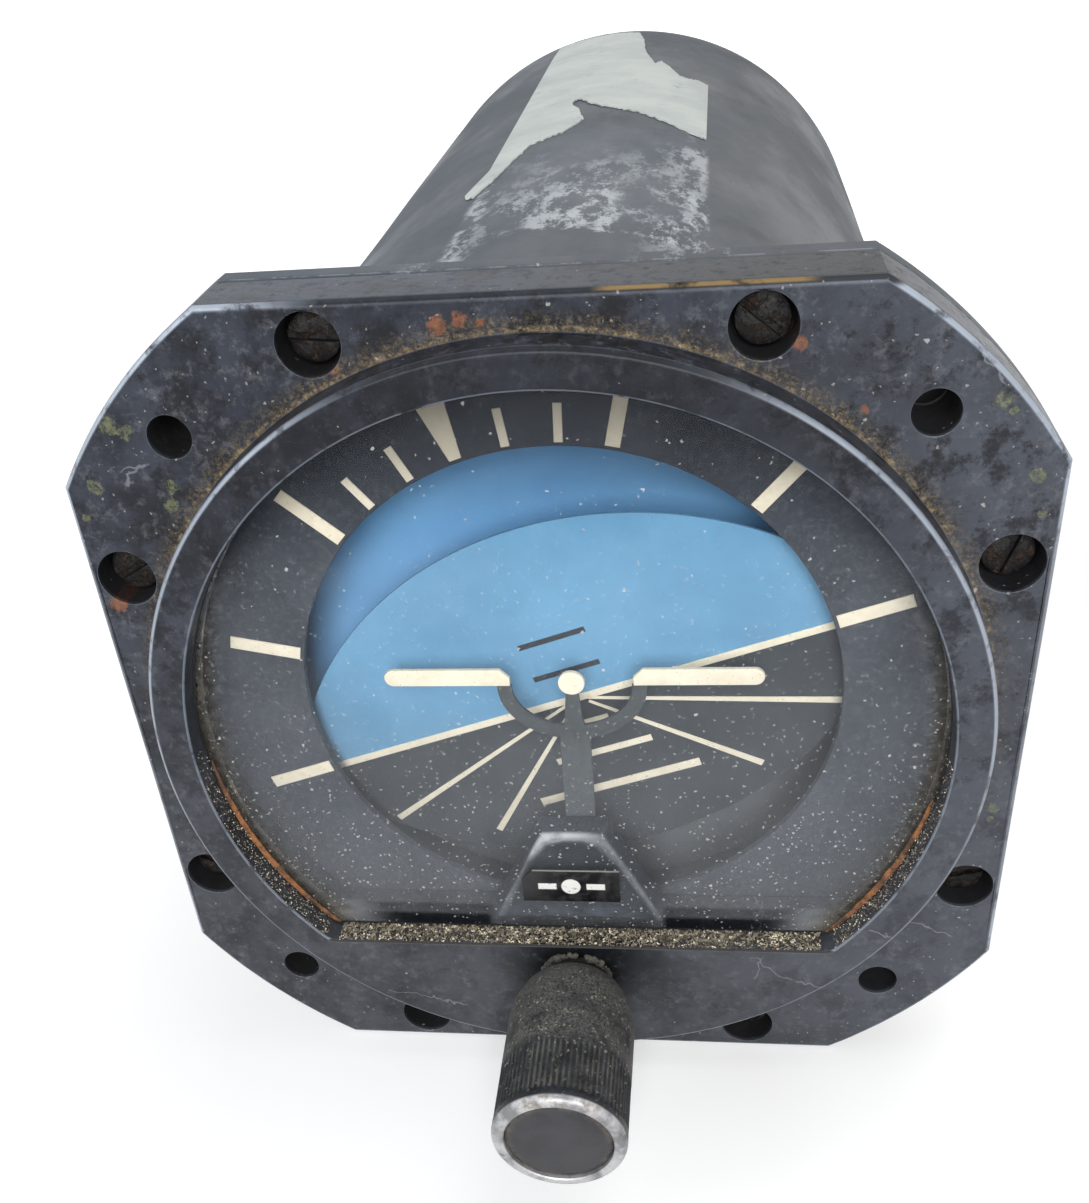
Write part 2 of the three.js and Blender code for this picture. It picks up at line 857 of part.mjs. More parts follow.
function makeRearBearingHousing() {
  const bore = boreRadius(rollBearingRadius, stackGap, mediumSides)
  const body = turnedY([
    [bore, hubStart],
    [hubRadius, hubStart],
    [hubRadius, hubFlangeFront],
    [hubFlangeRadius, hubFlangeFront],
    [hubFlangeRadius, hubFlangeBack],
    [hubAirRadius, hubFlangeBack],
    [hubAirRadius, hubBoreEnd],
    [bore, hubBoreEnd],
    [bore, hubStart],
  ], mediumSides)
  const holes = rearScrewPlaces().map(([x, z]) => rodY(
    rearScrewRadius + fitGap,
    hubFlangeFront - cutOverrun,
    hubFlangeBack + cutOverrun,
    x,
    z,
    tinySides,
  ))
  return cut(body, holes)
}

function makeRearScrews() {
  const grip = hubFlange + stackGap + caseRearWall - rearScrewShort
  const solid = slottedScrew(rearScrewHeadRadius, rearScrewHeadHeight, rearScrewRadius, grip)
  return rearScrewPlaces().map(([x, z], index) => {
    const screw = piece(`rear_screw_${index + 1}`, solid, screwSteel)
    screw.position.set(x, hubFlangeBack + stackGap + rearScrewHeadHeight, z)
    screw.rotation.set(Math.PI, rearScrewTurns[index] * degree, 0)
    return screw
  })
}

// A ball bearing as one ring, with its shield set back on one face
function bearingProfile(inner, outer, from, width) {
  const race = (outer - inner) / 4
  const dish = width / 8
  const to = from + width
  return [
    [inner, from],
    [outer, from],
    [outer, to],
    [outer - race, to - dish],
    [inner + race, to - dish],
    [inner, to],
    [inner, from],
  ]
}

function makeRollBearing(from) {
  const inner = boreRadius(rollShaftRadius, bearingGap)
  return turnedY(bearingProfile(inner, rollBearingRadius, from, rollBearingWidth), smallSides)
}

function makeAirInlet() {
  const front = hubFlangeBack + stackGap
  const back = front + inletLength
  const cap = turnedY([
    [inletRadius - inletWall, front],
    [inletRadius, front],
    [inletRadius, back - inletWall],
    [inletRadius - inletWall, back],
    [0, back],
    [0, back - inletWall],
    [inletRadius - inletWall, back - inletWall],
    [inletRadius - inletWall, front],
  ], mediumSides)
  const holes = Array.from({ length: inletHoles }, (_, index) => {
    const angle = (2 * Math.PI * index) / inletHoles
    const x = inletHoleCircle * Math.cos(angle)
    const z = inletHoleCircle * Math.sin(angle)
    return rodY(inletHoleRadius, back - inletWall - cutOverrun, back + cutOverrun, x, z, tinySides)
  })
  return cut(cap, holes)
}

function makeFilter() {
  const back = hubFlangeBack + stackGap + inletLength - inletWall - stackGap
  const radius = inletRadius - inletWall - fitGap
  return rodY(radius, back - filterLength, back, 0, 0, mediumSides)
}

function makeVacuumPort() {
  const front = caseLength + stackGap
  const hexBack = front + portHexLength
  const barbStart = hexBack + portTubeLead
  const profile = [[portBore, front - portSpigotLength], [portSpigotRadius, front - portSpigotLength]]
  profile.push([portSpigotRadius, front], [portTubeRadius, front + stackGap], [portTubeRadius, barbStart])
  for (let barb = 0; barb < portBarbs; barb++) {
    const start = barbStart + barb * portBarbLength
    profile.push([portBarbRadius, start], [portTubeRadius, start + portBarbLength])
  }
  const end = barbStart + portBarbs * portBarbLength
  profile.push([portBore, end], [portBore, front - portSpigotLength])
  const tube = turnedY(profile, smallSides)
  const hexBore = rodY((portBore + portTubeRadius) / 2, front - cutOverrun, hexBack + cutOverrun)
  const hex = cut(plateY(regularOutline(portHexRadius, portHexSides), front, hexBack), [hexBore])
  return joined([tube, hex])
}

// Knob with its shaft, bushing and pinion

function knobStations() {
  const rear = ringFront - bushingCollarHeight - fitGap
  const shoulder = rear - knobShoulderLength
  const front = -knobFrontReach
  return { rear, shoulder, front }
}

// A toothed body turned about Y: every second corner is set in by the station's tooth depth
function toothedBody(stations, teeth) {
  const corners = teeth * 2
  const places = []
  for (const { y, radius, depth } of stations) {
    for (let i = 0; i < corners; i++) {
      const angle = (2 * Math.PI * i) / corners
      const reach = radius - (i % 2) * depth
      places.push(reach * Math.cos(angle), y, reach * Math.sin(angle))
    }
  }
  const first = stations.length * corners
  places.push(0, stations[0].y, 0, 0, stations.at(-1).y, 0)
  const index = []
  for (let i = 0; i < corners; i++) {
    const next = (i + 1) % corners
    for (let ring = 0; ring + 1 < stations.length; ring++) {
      const [low, high] = [ring * corners, (ring + 1) * corners]
      index.push(low + i, high + i, high + next, low + i, high + next, low + next)
    }
    const last = (stations.length - 1) * corners
    index.push(first, i, next, first + 1, last + next, last + i)
  }
  const geometry = new THREE.BufferGeometry()
  geometry.setAttribute('position', new THREE.BufferAttribute(new Float32Array(places), 3))
  geometry.setIndex(index)
  return solidFrom(geometry)
}

function makeKnobBody() {
  const { rear, shoulder, front } = knobStations()
  const [domeLengthShare, domeRiseShare] = knobShoulderShare
  const dome = knobRearRadius + (knobRadius - knobRearRadius) * domeRiseShare
  const knurlFront = front + knobRimBevel + knobFrontBand
  const knurlRear = knurlFront + knobKnurlLength
  const body = toothedBody([
    { y: rear, radius: knobRearRadius, depth: 0 },
    { y: rear - knobShoulderLength * domeLengthShare, radius: dome, depth: 0 },
    { y: shoulder, radius: knobRadius, depth: 0 },
    { y: knurlRear, radius: knobRadius, depth: 0 },
    { y: knurlRear - knobToothDepth, radius: knobRadius, depth: knobToothDepth },
    { y: knurlFront + knobToothDepth, radius: knobRadius, depth: knobToothDepth },
    { y: knurlFront, radius: knobRadius, depth: 0 },
    { y: front + knobRimBevel, radius: knobRadius, depth: 0 },
    { y: front, radius: knobRadius - knobRimBevel, depth: 0 },
  ], knobTeeth)
  const boreEnd = front + knobShaftInset - fitGap
  const shaftBore = rodY(boreRadius(knobShaftRadius, stackGap), boreEnd, rear + cutOverrun)
  const faceRecess = rodY(knobFaceRadius, front - cutOverrun, front + knobFaceDepth, 0, 0, mediumSides)
  const setScrewHole = rodZ(
    knobSetScrewRadius + threadGap,
    -knobRadius - cutOverrun,
    0,
    0,
    knobSetScrewPlace(),
    tinySides,
  )
  return cut(body, [shaftBore, faceRecess, setScrewHole])
}

function knobSetScrewPlace() {
  const { rear, shoulder } = knobStations()
  return (rear + shoulder) / 2
}

function makeKnobSetScrew() {
  const start = -knobRadius + knobSetScrewInset
  const end = -knobShaftRadius - stackGap
  const place = knobSetScrewPlace()
  const screw = rodZ(knobSetScrewRadius, start, end, 0, place, tinySides)
  const slot = block(
    [-knobSetScrewRadius - cutOverrun, knobSetScrewRadius + cutOverrun],
    [place - setScrewSlotWidth / 2, place + setScrewSlotWidth / 2],
    [start - cutOverrun, start + screwSlotDepth],
  )
  return cut(screw, [slot])
}

function makeKnobFace() {
  const { front } = knobStations()
  const back = front + knobFaceDepth - stackGap
  return rodY(knobFaceRadius - stackGap, back - knobFaceThickness, back, 0, 0, mediumSides)
}

function makeKnobShaft() {
  const start = -knobFrontReach + knobShaftInset
  const shoulder = rackFront - stackGap
  return turnedY([
    [0, start],
    [knobShaftRadius, start],
    [knobShaftRadius, shoulder],
    [pinionSeatRadius, shoulder],
    [pinionSeatRadius, rackBack],
    [0, rackBack],
  ], smallSides)
}

function makeBushing() {
  const collarFront = ringFront - stackGap - bushingCollarHeight
  const bore = boreRadius(knobShaftRadius, bearingGap)
  const body = turnedY([
    [bore, collarFront],
    [bushingCollarRadius, collarFront],
    [bushingCollarRadius, ringFront - stackGap],
    [bushingRadius, ringFront - stackGap],
    [bushingRadius, pocketFront],
    [bore, pocketFront],
    [bore, collarFront],
  ], smallSides)
  const notches = Array.from({ length: bushingNotches }, (_, index) => {
    const geometry = new THREE.BoxGeometry(bushingCollarRadius, bushingCollarHeight, bushingNotchWidth)
    geometry.translate(bushingCollarRadius + bushingRadius - knobShaftRadius, collarFront, 0)
    geometry.rotateY((2 * Math.PI * (index + 0.5)) / bushingNotches + bushingNotchTurn * degree)
    return solidFrom(geometry)
  })
  return cut(body, notches)
}

function makePinion() {
  const outline = []
  const pitch = (2 * Math.PI) / pinionTeeth
  const root = pinionPitchRadius - toothRootDrop
  for (let tooth = 0; tooth < pinionTeeth; tooth++) {
    const middle = tooth * pitch
    const corners = [
      [root, -toothRootShare],
      [pinionOuterRadius, -toothTipShare],
      [pinionOuterRadius, toothTipShare],
      [root, toothRootShare],
    ]
    for (const [radius, share] of corners) {
      const angle = middle + (share * pitch) / 2
      outline.push([radius * Math.cos(angle), radius * Math.sin(angle)])
    }
  }
  const seat = boreRadius(pinionSeatRadius, stackGap)
  const bore = rodY(seat, rackFront - cutOverrun, rackBack + cutOverrun)
  return cut(plateY(outline, rackFront, rackBack), [bore])
}

// Rack that carries the miniature airplane

function rackToothPlaces() {
  const pitch = (2 * Math.PI * pinionPitchRadius) / pinionTeeth
  const upper = Math.floor((rackWindowTop + knobDrop) / pitch)
  const lower = Math.floor((-knobDrop - rackWindowBottom) / pitch)
  const places = []
  for (let step = -lower; step < upper; step++) places.push(-knobDrop + (step + 0.5) * pitch)
  return { pitch, places }
}

function makeRack() {
  const frame = plateY(
    rectangle([-rackHalfWidth, rackHalfWidth], [rackWindowBottom - rackBar, rackWindowTop + rackBar]),
    rackFront,
    rackBack,
  )
  const rootLine = -pinionPitchRadius - toothRootDrop
  const tipLine = -pinionPitchRadius + toothHeight
  const window = plateY(
    rectangle([rootLine, pinionOuterRadius + fitGap], [rackWindowBottom, rackWindowTop]),
    rackFront - cutOverrun,
    rackBack + cutOverrun,
  )
  const { pitch, places } = rackToothPlaces()
  const rootHalf = (toothRootShare * pitch) / 2
  const tipHalf = (toothTipShare * pitch) / 2
  const teeth = places.map((z) => plateY([
    [rootLine - stackGap, z - rootHalf],
    [tipLine, z - tipHalf],
    [tipLine, z + tipHalf],
    [rootLine - stackGap, z + rootHalf],
  ], rackFront, rackBack))
  return joined([cut(frame, [window]), ...teeth])
}

function makeGuide() {
  const back = guideFront + guideThickness
  const railBack = back + guideRailReach
  const low = pocketFloor + fitGap
  const high = -recessChordDrop - stackGap
  const channel = guideHalfWidth - guideRailWidth
  const plate = block([-guideHalfWidth, guideHalfWidth], [guideFront, back], [low, high])
  const rails = [-1, 1].map((side) => {
    const edges = [side * channel, side * guideHalfWidth].sort((a, b) => a - b)
    return block(edges, [guideFront, railBack], [low, high])
  })
  const shaftHole = rodY(knobShaftRadius + fitGap, guideFront - cutOverrun, back + cutOverrun, 0, -knobDrop)
  return cut(joined([plate, ...rails]), [shaftHole])
}

// Miniature airplane: two wings, a bow between them, and a dot on a post

function makeSymbol() {
  const back = symbolFront + symbolThickness
  const middle = symbolOffset
  const sheet = (outline) => plateY(outline, symbolFront, back)
  const wing = (side) => {
    const tip = middle + side * (wingSpanHalf - wingChord / 2)
    const root = middle + side * wingInner
    const half = wingChord / 2
    const start = side > 0 ? -Math.PI / 2 : Math.PI / 2
    const round = arcPoints(tip, wingRise, half, start, start + Math.PI, 2 * cornerSteps)
    const inner = side > 0
      ? [[root + half, wingRise + half], [root, wingRise], [root, wingRise - half]]
      : [[root, wingRise - half], [root, wingRise], [root - half, wingRise + half]]
    return sheet([...round, ...inner])
  }
  const bowSteps = 6 * cornerSteps
  const bowArc = (half, drop) => arcPoints(0, 0, 1, Math.PI, 2 * Math.PI, bowSteps)
    .map(([x, z]) => [middle + x * half, bowRise + z * drop])
  const wingFloor = wingRise - wingChord / 2
  const bowEnd = wingFloor + stackGap
  const bow = sheet([
    [middle - bowOuterHalf, bowEnd],
    ...bowArc(bowOuterHalf, bowOuterDrop),
    [middle + bowOuterHalf, bowEnd],
    [middle + bowInnerHalf, bowEnd],
    ...bowArc(bowInnerHalf, bowInnerDrop).reverse(),
    [middle - bowInnerHalf, bowEnd],
  ])
  const dot = rodY(dotRadius, symbolFront, back, middle, dotRise)
  const post = sheet([
    [middle - postHalf, rackWindowTop + stackGap],
    [middle + postHalf, rackWindowTop + stackGap],
    [middle + postHalf, -neckFootDrop],
    [middle + neckShoulderHalf, -neckShoulderDrop],
    [middle + neckTopHalf, dotRise],
    [middle - neckTopHalf, dotRise],
    [middle - neckShoulderHalf, -neckShoulderDrop],
    [middle - postHalf, -neckFootDrop],
  ])
  const foot = sheet(rectangle(
    [-symbolFootHalf, symbolFootHalf],
    [rackWindowTop + stackGap, rackWindowTop + rackBar],
  ))
  return joined([wing(-1), wing(1), bow, dot, post, foot])
}

// Bank dial, its brackets and the sky background, in the frame of the roll gimbal

function makeDial() {
  const disc = turnedY(tubeProfile(dialOpeningRadius, dialRadius, dialDepth, dialBack), largeSides)
  const front = dialDepth - markRelief
  const mark = (degrees, end, innerWidth, outerWidth = innerWidth) => {
    const angle = (90 - degrees) * degree
    const place = (radius) => [radius * Math.cos(angle), radius * Math.sin(angle)]
    const outline = barOutline(place(markStart), place(end), innerWidth, outerWidth)
    return plateY(outline, front, dialDepth + markRelief)
  }
  const marks = [
    ...shortMarkAngles.map((degrees) => mark(degrees, shortMarkEnd, shortMarkWidth)),
    ...longMarkAngles.map((degrees) => mark(degrees, longMarkEnd, longMarkWidth)),
    mark(0, longMarkEnd, zeroMarkInnerWidth, zeroMarkOuterWidth),
  ]
  return joined([disc, ...marks])
}

function makeDialBracket(side) {
  const middle = side > 0 ? 0 : Math.PI
  const half = bracketHalfAngle * degree
  const outer = arcPoints(0, 0, bracketOuter, middle - half, middle + half, 2 * cornerSteps)
  const inner = arcPoints(0, 0, bracketInner, middle + half, middle - half, 2 * cornerSteps)
  return plateY([...outer, ...inner], dialBack + stackGap, bracketEnd)
}

function makeSkyBackground() {
  const edge = Math.acos((armInner - counterweightGap) / skyRadius)
  const outline = arcPoints(0, 0, skyRadius, edge, 2 * Math.PI - edge, largeSides)
  return plateY(outline, skyDepth, skyDepth + skyThickness)
}

// Roll gimbal frame and its shaft

function makeGimbalFrame() {
  const sides = [-1, 1].map((side) => {
    const edges = [side * frameInnerHalf, side * frameOuterHalf].sort((a, b) => a - b)
    return block(edges, [frameStart, frameEnd], [-frameHalfHeight, frameHalfHeight])
  })
  const frontBar = block(
    [-frameOuterHalf, armInner - housingBossGap],
    [frameStart, frameStart + frameFrontBar],
    [-frameFrontBarHalfHeight, frameFrontBarHalfHeight],
  )
  const rearBar = block(
    [-frameOuterHalf, frameOuterHalf],
    [frameRearBarStart, frameEnd],
    [-frameHalfHeight, frameHalfHeight],
  )
  const reach = frameOuterHalf + cutOverrun
  const lightening = [-1, 1].map((side) => {
    const y = pitchAxisDepth + side * frameHoleReach
    return rodX(frameHoleRadius, -reach, reach, y, 0, mediumSides)
  })
  const pivotHole = rodX(boreRadius(pitchPivotRadius, stackGap), -reach, reach, pitchAxisDepth, 0)
  const armHole = rodX(boreRadius(armPivotRadius, stackGap), 0, reach, armPivotDepth, 0)
  const airHole = rodY(rollShaftBore, frameRearBarStart - cutOverrun, frameEnd + cutOverrun)
  return cut(joined([...sides, frontBar, rearBar]), [...lightening, pivotHole, armHole, airHole])
}

function makeRollShaft() {
  const start = frameEnd + stackGap
  return turnedY([
    [rollShaftBore, start],
    [rollShaftFlangeRadius, start],
    [rollShaftFlangeRadius, start + rollShaftFlange],
    [rollShaftRadius, start + rollShaftFlange],
    [rollShaftRadius, rollShaftEnd],
    [rollShaftBore, rollShaftEnd],
    [rollShaftBore, start],
  ], mediumSides)
}

function makeBalanceWeight() {
  const back = frameRearBarStart - stackGap
  return rodY(balanceWeightRadius, back - balanceWeightLength, back, -balanceWeightReach, 0)
}

function makePitchPivot(side) {
  const ends = [side * pitchPivotTip, side * frameOuterHalf].sort((a, b) => a - b)
  return rodX(pitchPivotRadius, ends[0], ends[1], pitchAxisDepth, 0)
}

function makeArmPivot() {
  return rodX(armPivotRadius, armInner - armThickness, frameOuterHalf, armPivotDepth, 0)
}

// Horizon plate, arm and counterweight, measured from the arm's pivot

function makeHorizonPlate() {
  const rise = plateHalfHeight - plateTipHalf
  const radius = (plateTipReach ** 2 + rise ** 2) / (2 * rise)
  const centreDrop = radius - plateHalfHeight
  const edge = Math.atan2(radius - rise, plateTipReach)
  const outline = [
    ...arcPoints(0, -centreDrop, radius, edge, Math.PI - edge, largeSides / 2),
    ...arcPoints(0, centreDrop, radius, Math.PI + edge, 2 * Math.PI - edge, largeSides / 2),
  ]
  const front = -armPivotToPlate
  const sheet = plateY(outline, front, front + plateThickness)
  const line = (bar) => plateY(bar, front - markRelief, front + markRelief)
  const level = (half, rise, width) => line(barOutline([-half, rise], [half, rise], width))
  const lines = [level(plateTipReach - stackGap, 0, horizonLineWidth)]
  for (const rise of skyBarRises) lines.push(level(skyBarHalf, rise, skyBarWidth))
  groundBarDrops.forEach((drop, index) => {
    lines.push(level(groundBarHalves[index], -drop, groundBarWidths[index]))
  })
  for (const [reachShare, dropShare] of rayEndShares) {
    const reach = reachShare * dialOpeningRadius
    const drop = dropShare * dialOpeningRadius
    for (const side of [-1, 1]) {
      const start = [side * rayStart, (-rayStart * drop) / reach]
      lines.push(line(barOutline(start, [side * reach, -drop], rayStartWidth, rayEndWidth)))
    }
  }
  return joined([sheet, ...lines])
}

// The arm loops round the pitch pivot, which the loop has to clear at both limits
function makeHorizonArm() {
  const pivot = -armPivotSetback
  const swing = armPivotSetback * armLimitSine
  const lag = armPivotSetback * (1 - Math.cos(horizonLimitDegrees * degree))
  const openHalfWidth = pitchPivotRadius + lag + 2 * fitGap
  const openHalfHeight = swing + pitchPivotRadius + 2 * fitGap
  const front = -armPivotToPlate + plateThickness + stackGap
  const slotEnd = pivot + drivePinReach + drivePinRadius + 2 * fitGap
  const strip = (from, to, half) => plateX(rectangle([from, to], [-half, half]), armInner, armOuter)
  const body = joined([
    strip(front, pivot, armHalfHeight),
    strip(
      pivot - openHalfWidth - armLoopRim,
      pivot + openHalfWidth + armLoopRim,
      openHalfHeight + armLoopRim,
    ),
    strip(pivot, slotEnd + armSlotRim, armSlotHalf + armSlotRim),
    strip(slotEnd, armTail, armHalfHeight),
    rodX(armBossRadius, armInner, armOuter, 0, 0),
    block(
      [armInner - armTabReach, armOuter],
      [front, front + armTabThickness],
      [-armTabHalfHeight, armTabHalfHeight],
    ),
  ])
  const opening = (from, to, half) => plateX(
    rectangle([from, to], [-half, half]),
    armInner - cutOverrun,
    armOuter + cutOverrun,
  )
  return cut(body, [
    opening(pivot - openHalfWidth, pivot + openHalfWidth, openHalfHeight),
    opening(pivot, slotEnd, armSlotHalf),
    rodX(boreRadius(armPivotRadius, bearingGap), armInner - cutOverrun, armOuter + cutOverrun, 0, 0),
  ])
}

function makeCounterweight() {
  const outer = armInner - stackGap
  return rodX(counterweightRadius, outer - counterweightLength, outer, counterweightSetback, 0)
}

// Rotor housing, measured from the pitch axis with the spin axis along Z

function bearingSeatProfile(from, to) {
  const inner = boreRadius(rotorBearingRadius, stackGap, mediumSides)
  return tubeProfile(inner, rotorBearingRadius + rotorBearingSeatWall, from, to)
}

function makeHousing() {
  const floorTop = -housingHalfHeight + housingFloor
  const outside = rodZ(housingRadius, -housingHalfHeight, housingRim, 0, 0, mediumSides)
  const pads = block(
    [-housingPadReach, housingPadReach],
    [-housingPadHalfWidth, housingPadHalfWidth],
    [-housingPadHalfHeight, housingPadHalfHeight],
  )
  const bosses = rodX(housingBossRadius, -housingBossReach, housingBossReach)
  const chamber = rodZ(housingInnerRadius, floorTop, housingRim + cutOverrun, 0, 0, mediumSides)
  const seat = turnedZ(bearingSeatProfile(floorTop - stackGap, floorTop + rotorBearingWidth))
  const exhausts = Array.from({ length: exhaustCount }, (_, index) => {
    const angle = (2 * Math.PI * (index + 0.5)) / exhaustCount
    const [x, y] = [exhaustCircle * Math.cos(angle), exhaustCircle * Math.sin(angle)]
    return rodZ(exhaustRadius, -housingHalfHeight - cutOverrun, floorTop + cutOverrun, x, y, tinySides)
  })
  const pivotBore = rodX(
    boreRadius(pitchPivotRadius, bearingGap),
    -housingBossReach - cutOverrun,
    housingBossReach + cutOverrun,
  )
  const bearingStart = housingBossReach - pitchBearingWidth - stackGap
  const bearingBores = [-1, 1].map((side) => {
    const ends = [side * bearingStart, side * (housingBossReach + cutOverrun)].sort((a, b) => a - b)
    return rodX(boreRadius(pitchBearingRadius, stackGap), ends[0], ends[1])
  })
  const pinHole = rodX(
    boreRadius(drivePinRadius, stackGap),
    drivePinStart() - stackGap,
    housingPadReach + cutOverrun,
    drivePinReach,
    0,
  )
  const hollow = joined([cut(joined([outside, pads, bosses]), [chamber]), seat])
  return cut(hollow, [...exhausts, pivotBore, ...bearingBores, pinHole])
}

function drivePinStart() {
  return housingPadReach - 2 * drivePinRadius
}

function makeLid() {
  const low = housingHalfHeight - housingFloor
  const disc = turnedZ([
    [0, low],
    [housingRadius, low],
    [housingRadius, housingHalfHeight],
    [lidBossRadius, housingHalfHeight],
    [lidBossRadius, housingHalfHeight + lidBossHeight],
    [0, housingHalfHeight + lidBossHeight],
  ], mediumSides)
  const seat = turnedZ(bearingSeatProfile(low - rotorBearingWidth, low + stackGap))
  return joined([disc, seat])
}

function makeDrivePin() {
  return rodX(drivePinRadius, drivePinStart(), drivePinTip, drivePinReach, 0, tinySides)
}

function makePitchBearing(side) {
  const inner = boreRadius(pitchPivotRadius, bearingGap)
  const start = side > 0 ? housingBossReach - pitchBearingWidth : -housingBossReach
  const points = bearingProfile(inner, pitchBearingRadius, start, pitchBearingWidth)
  const geometry = new THREE.LatheGeometry(
    points.map(([radius, x]) => new THREE.Vector2(radius, x)),
    smallSides,
  )
  geometry.rotateZ(-Math.PI / 2)
  return solidFrom(geometry)
}

function makeRotorBearing(upper) {
  const seatFace = housingHalfHeight - housingFloor - stackGap
  const start = upper ? seatFace - rotorBearingWidth : -seatFace
  const inner = boreRadius(rotorShaftRadius, bearingGap)
  return turnedZ(bearingProfile(inner, rotorBearingRadius, start, rotorBearingWidth), smallSides)
}

// Rotor with the buckets that the air jets push

function makeRotor() {
  const outline = []
  const pitch = (2 * Math.PI) / rotorNotches
  for (let notch = 0; notch < rotorNotches; notch++) {
    const start = notch * pitch
    const corners = [
      [rotorRadius, 0],
      [rotorRadius - rotorNotchDepth, 0],
      [rotorRadius - rotorNotchDepth, bucketFloorShare],
      [rotorRadius, bucketMouthShare],
    ]
    for (const [radius, share] of corners) {
      const angle = start + share * pitch
      outline.push([radius * Math.cos(angle), radius * Math.sin(angle)])
    }
  }
  const wheel = plateZ(outline, -rotorHalfHeight, rotorHalfHeight)
  const recess = (from, to) => turnedZ(tubeProfile(rotorRecessInner, rotorRecessOuter, from, to), mediumSides)
  const bore = rodZ(
    boreRadius(rotorShaftCollarRadius, stackGap),
    -rotorHalfHeight - cutOverrun,
    rotorHalfHeight + cutOverrun,
  )
  return cut(wheel, [
    recess(-rotorHalfHeight - cutOverrun, -rotorHalfHeight + rotorRecessDepth),
    recess(rotorHalfHeight - rotorRecessDepth, rotorHalfHeight + cutOverrun),
    bore,
  ])
}

function makeRotorShaft() {
  const end = housingHalfHeight - housingFloor - fitGap
  const collarEnd = end - rotorBearingWidth - fitGap
  return turnedZ([
    [0, -end],
    [rotorShaftRadius, -end],
    [rotorShaftRadius, -collarEnd],
    [rotorShaftCollarRadius, -collarEnd],
    [rotorShaftCollarRadius, collarEnd],
    [rotorShaftRadius, collarEnd],
    [rotorShaftRadius, end],
    [0, end],
  ], smallSides)
}

// Erection unit under the housing

function erectionTop() {
  return -housingHalfHeight - stackGap
}

function makeErectionBody() {
  const top = erectionTop()
  const bottom = top - erectionHeight
  const half = erectionHalf
  const square = block([-half, half], [-half, half], [bottom, top])
  const flange = rodZ(erectionFlangeRadius, top - erectionFlange, top, 0, 0, mediumSides)
  const ports = [0, 1, 2, 3].map((face) => {
    const geometry = new THREE.BoxGeometry(2 * erectionPortDepth, erectionPortWidth, erectionPortHeight)
    geometry.translate(half, erectionPortWidth, top - erectionPortDrop - erectionPortHeight / 2)
    geometry.rotateZ((face * Math.PI) / 2)
    return solidFrom(geometry)
  })
  const reach = half + cutOverrun
  const bore = boreRadius(vaneShaftRadius, fitGap, tinySides)
  const [firstDrop, secondDrop] = vaneShaftDrops
  return cut(joined([square, flange]), [
    ...ports,
    rodX(bore, -reach, reach, 0, top - firstDrop, tinySides),
    rodY(bore, -reach, reach, 0, top - secondDrop, tinySides),
  ])
}

// A pair of vanes on one shaft along X, measured from the shaft's middle
function makeVanePair() {
  const inner = erectionHalf + fitGap
  const outer = inner + vaneThickness
  const shaft = rodX(vaneShaftRadius, -outer, outer, 0, 0, tinySides)
  const blades = [-1, 1].map((side) => {
    const edges = [side * inner, side * outer].sort((a, b) => a - b)
    return block(edges, [-vaneWidth / 2, vaneWidth / 2], [-vaneLength + vaneTopRise, vaneTopRise])
  })
  return joined([shaft, ...blades])
}

// Put the pieces together

function fixedPieces() {
  return [
    piece('bezel', makeBezel(), blackPaint),
    piece('bezel_gasket', makeGasket(), blackRubber),
    ...makeBezelScrews(),
    piece('window_seal', windowFrame(sealFront, sealFront + sealThickness), blackRubber),
    piece('window_glass', makeGlass(), painted(0xdfe8ea, 0.05, 0)),
    piece('glass_retainer', makeRetainer(), blackPaint),
    piece('legend_tape', makeTape(), blackPlastic),
    piece('symbol_hood', makeHood(), painted(0x4a4c50, 0.35, 0)),
    piece('symbol_guide', makeGuide(), aluminium),
    piece('case', makeCase(), casePaint),
    piece('rear_bearing_housing', makeRearBearingHousing(), casePaint),
    ...makeRearScrews(),
    piece('roll_bearing_front', makeRollBearing(hubStart + stackGap), brightSteel),
    piece('roll_bearing_rear', makeRollBearing(hubBoreEnd - stackGap - rollBearingWidth), brightSteel),
    piece('air_inlet_cap', makeAirInlet(), brassMetal),
    piece('air_filter', makeFilter(), painted(0x9a9488, 0.95, 0)),
    lowered(piece('vacuum_port', makeVacuumPort(), brassMetal), portDrop),
    lowered(piece('knob_bushing', makeBushing(), brassMetal), knobDrop),
  ]
}

function lowered(mesh, drop) {
  mesh.position.z = -drop
  return mesh
}

function knobPieces() {
  return [
    piece('knob_body', makeKnobBody(), painted(0x1d1e20, 0.5, 0.2)),
    piece('knob_face', makeKnobFace(), painted(0x4b4d51, 0.6, 0.1)),
    piece('knob_set_screw', makeKnobSetScrew(), screwSteel),
    piece('knob_shaft', makeKnobShaft(), brightSteel),
    piece('knob_pinion', makePinion(), brassMetal),
  ].map((mesh) => lowered(mesh, knobDrop))
}

function symbolPieces() {
  return [
    piece('airplane_symbol', makeSymbol(), painted(0xf5e8d0, 0.6, 0)),
    piece('symbol_rack', makeRack(), brassMetal),
  ]
}

function vaneGroup(name, shaftDrop, alongY) {
  const vanes = piece(name, makeVanePair(), aluminium)
  const group = groupOf([vanes])
  group.position.z = erectionTop() - shaftDrop
  if (alongY) {
    vanes.rotation.z = Math.PI / 2
    group.rotation.y = -bankAngle
  } else {
    group.rotation.x = -pitchRestAngle
  }
  return group
}

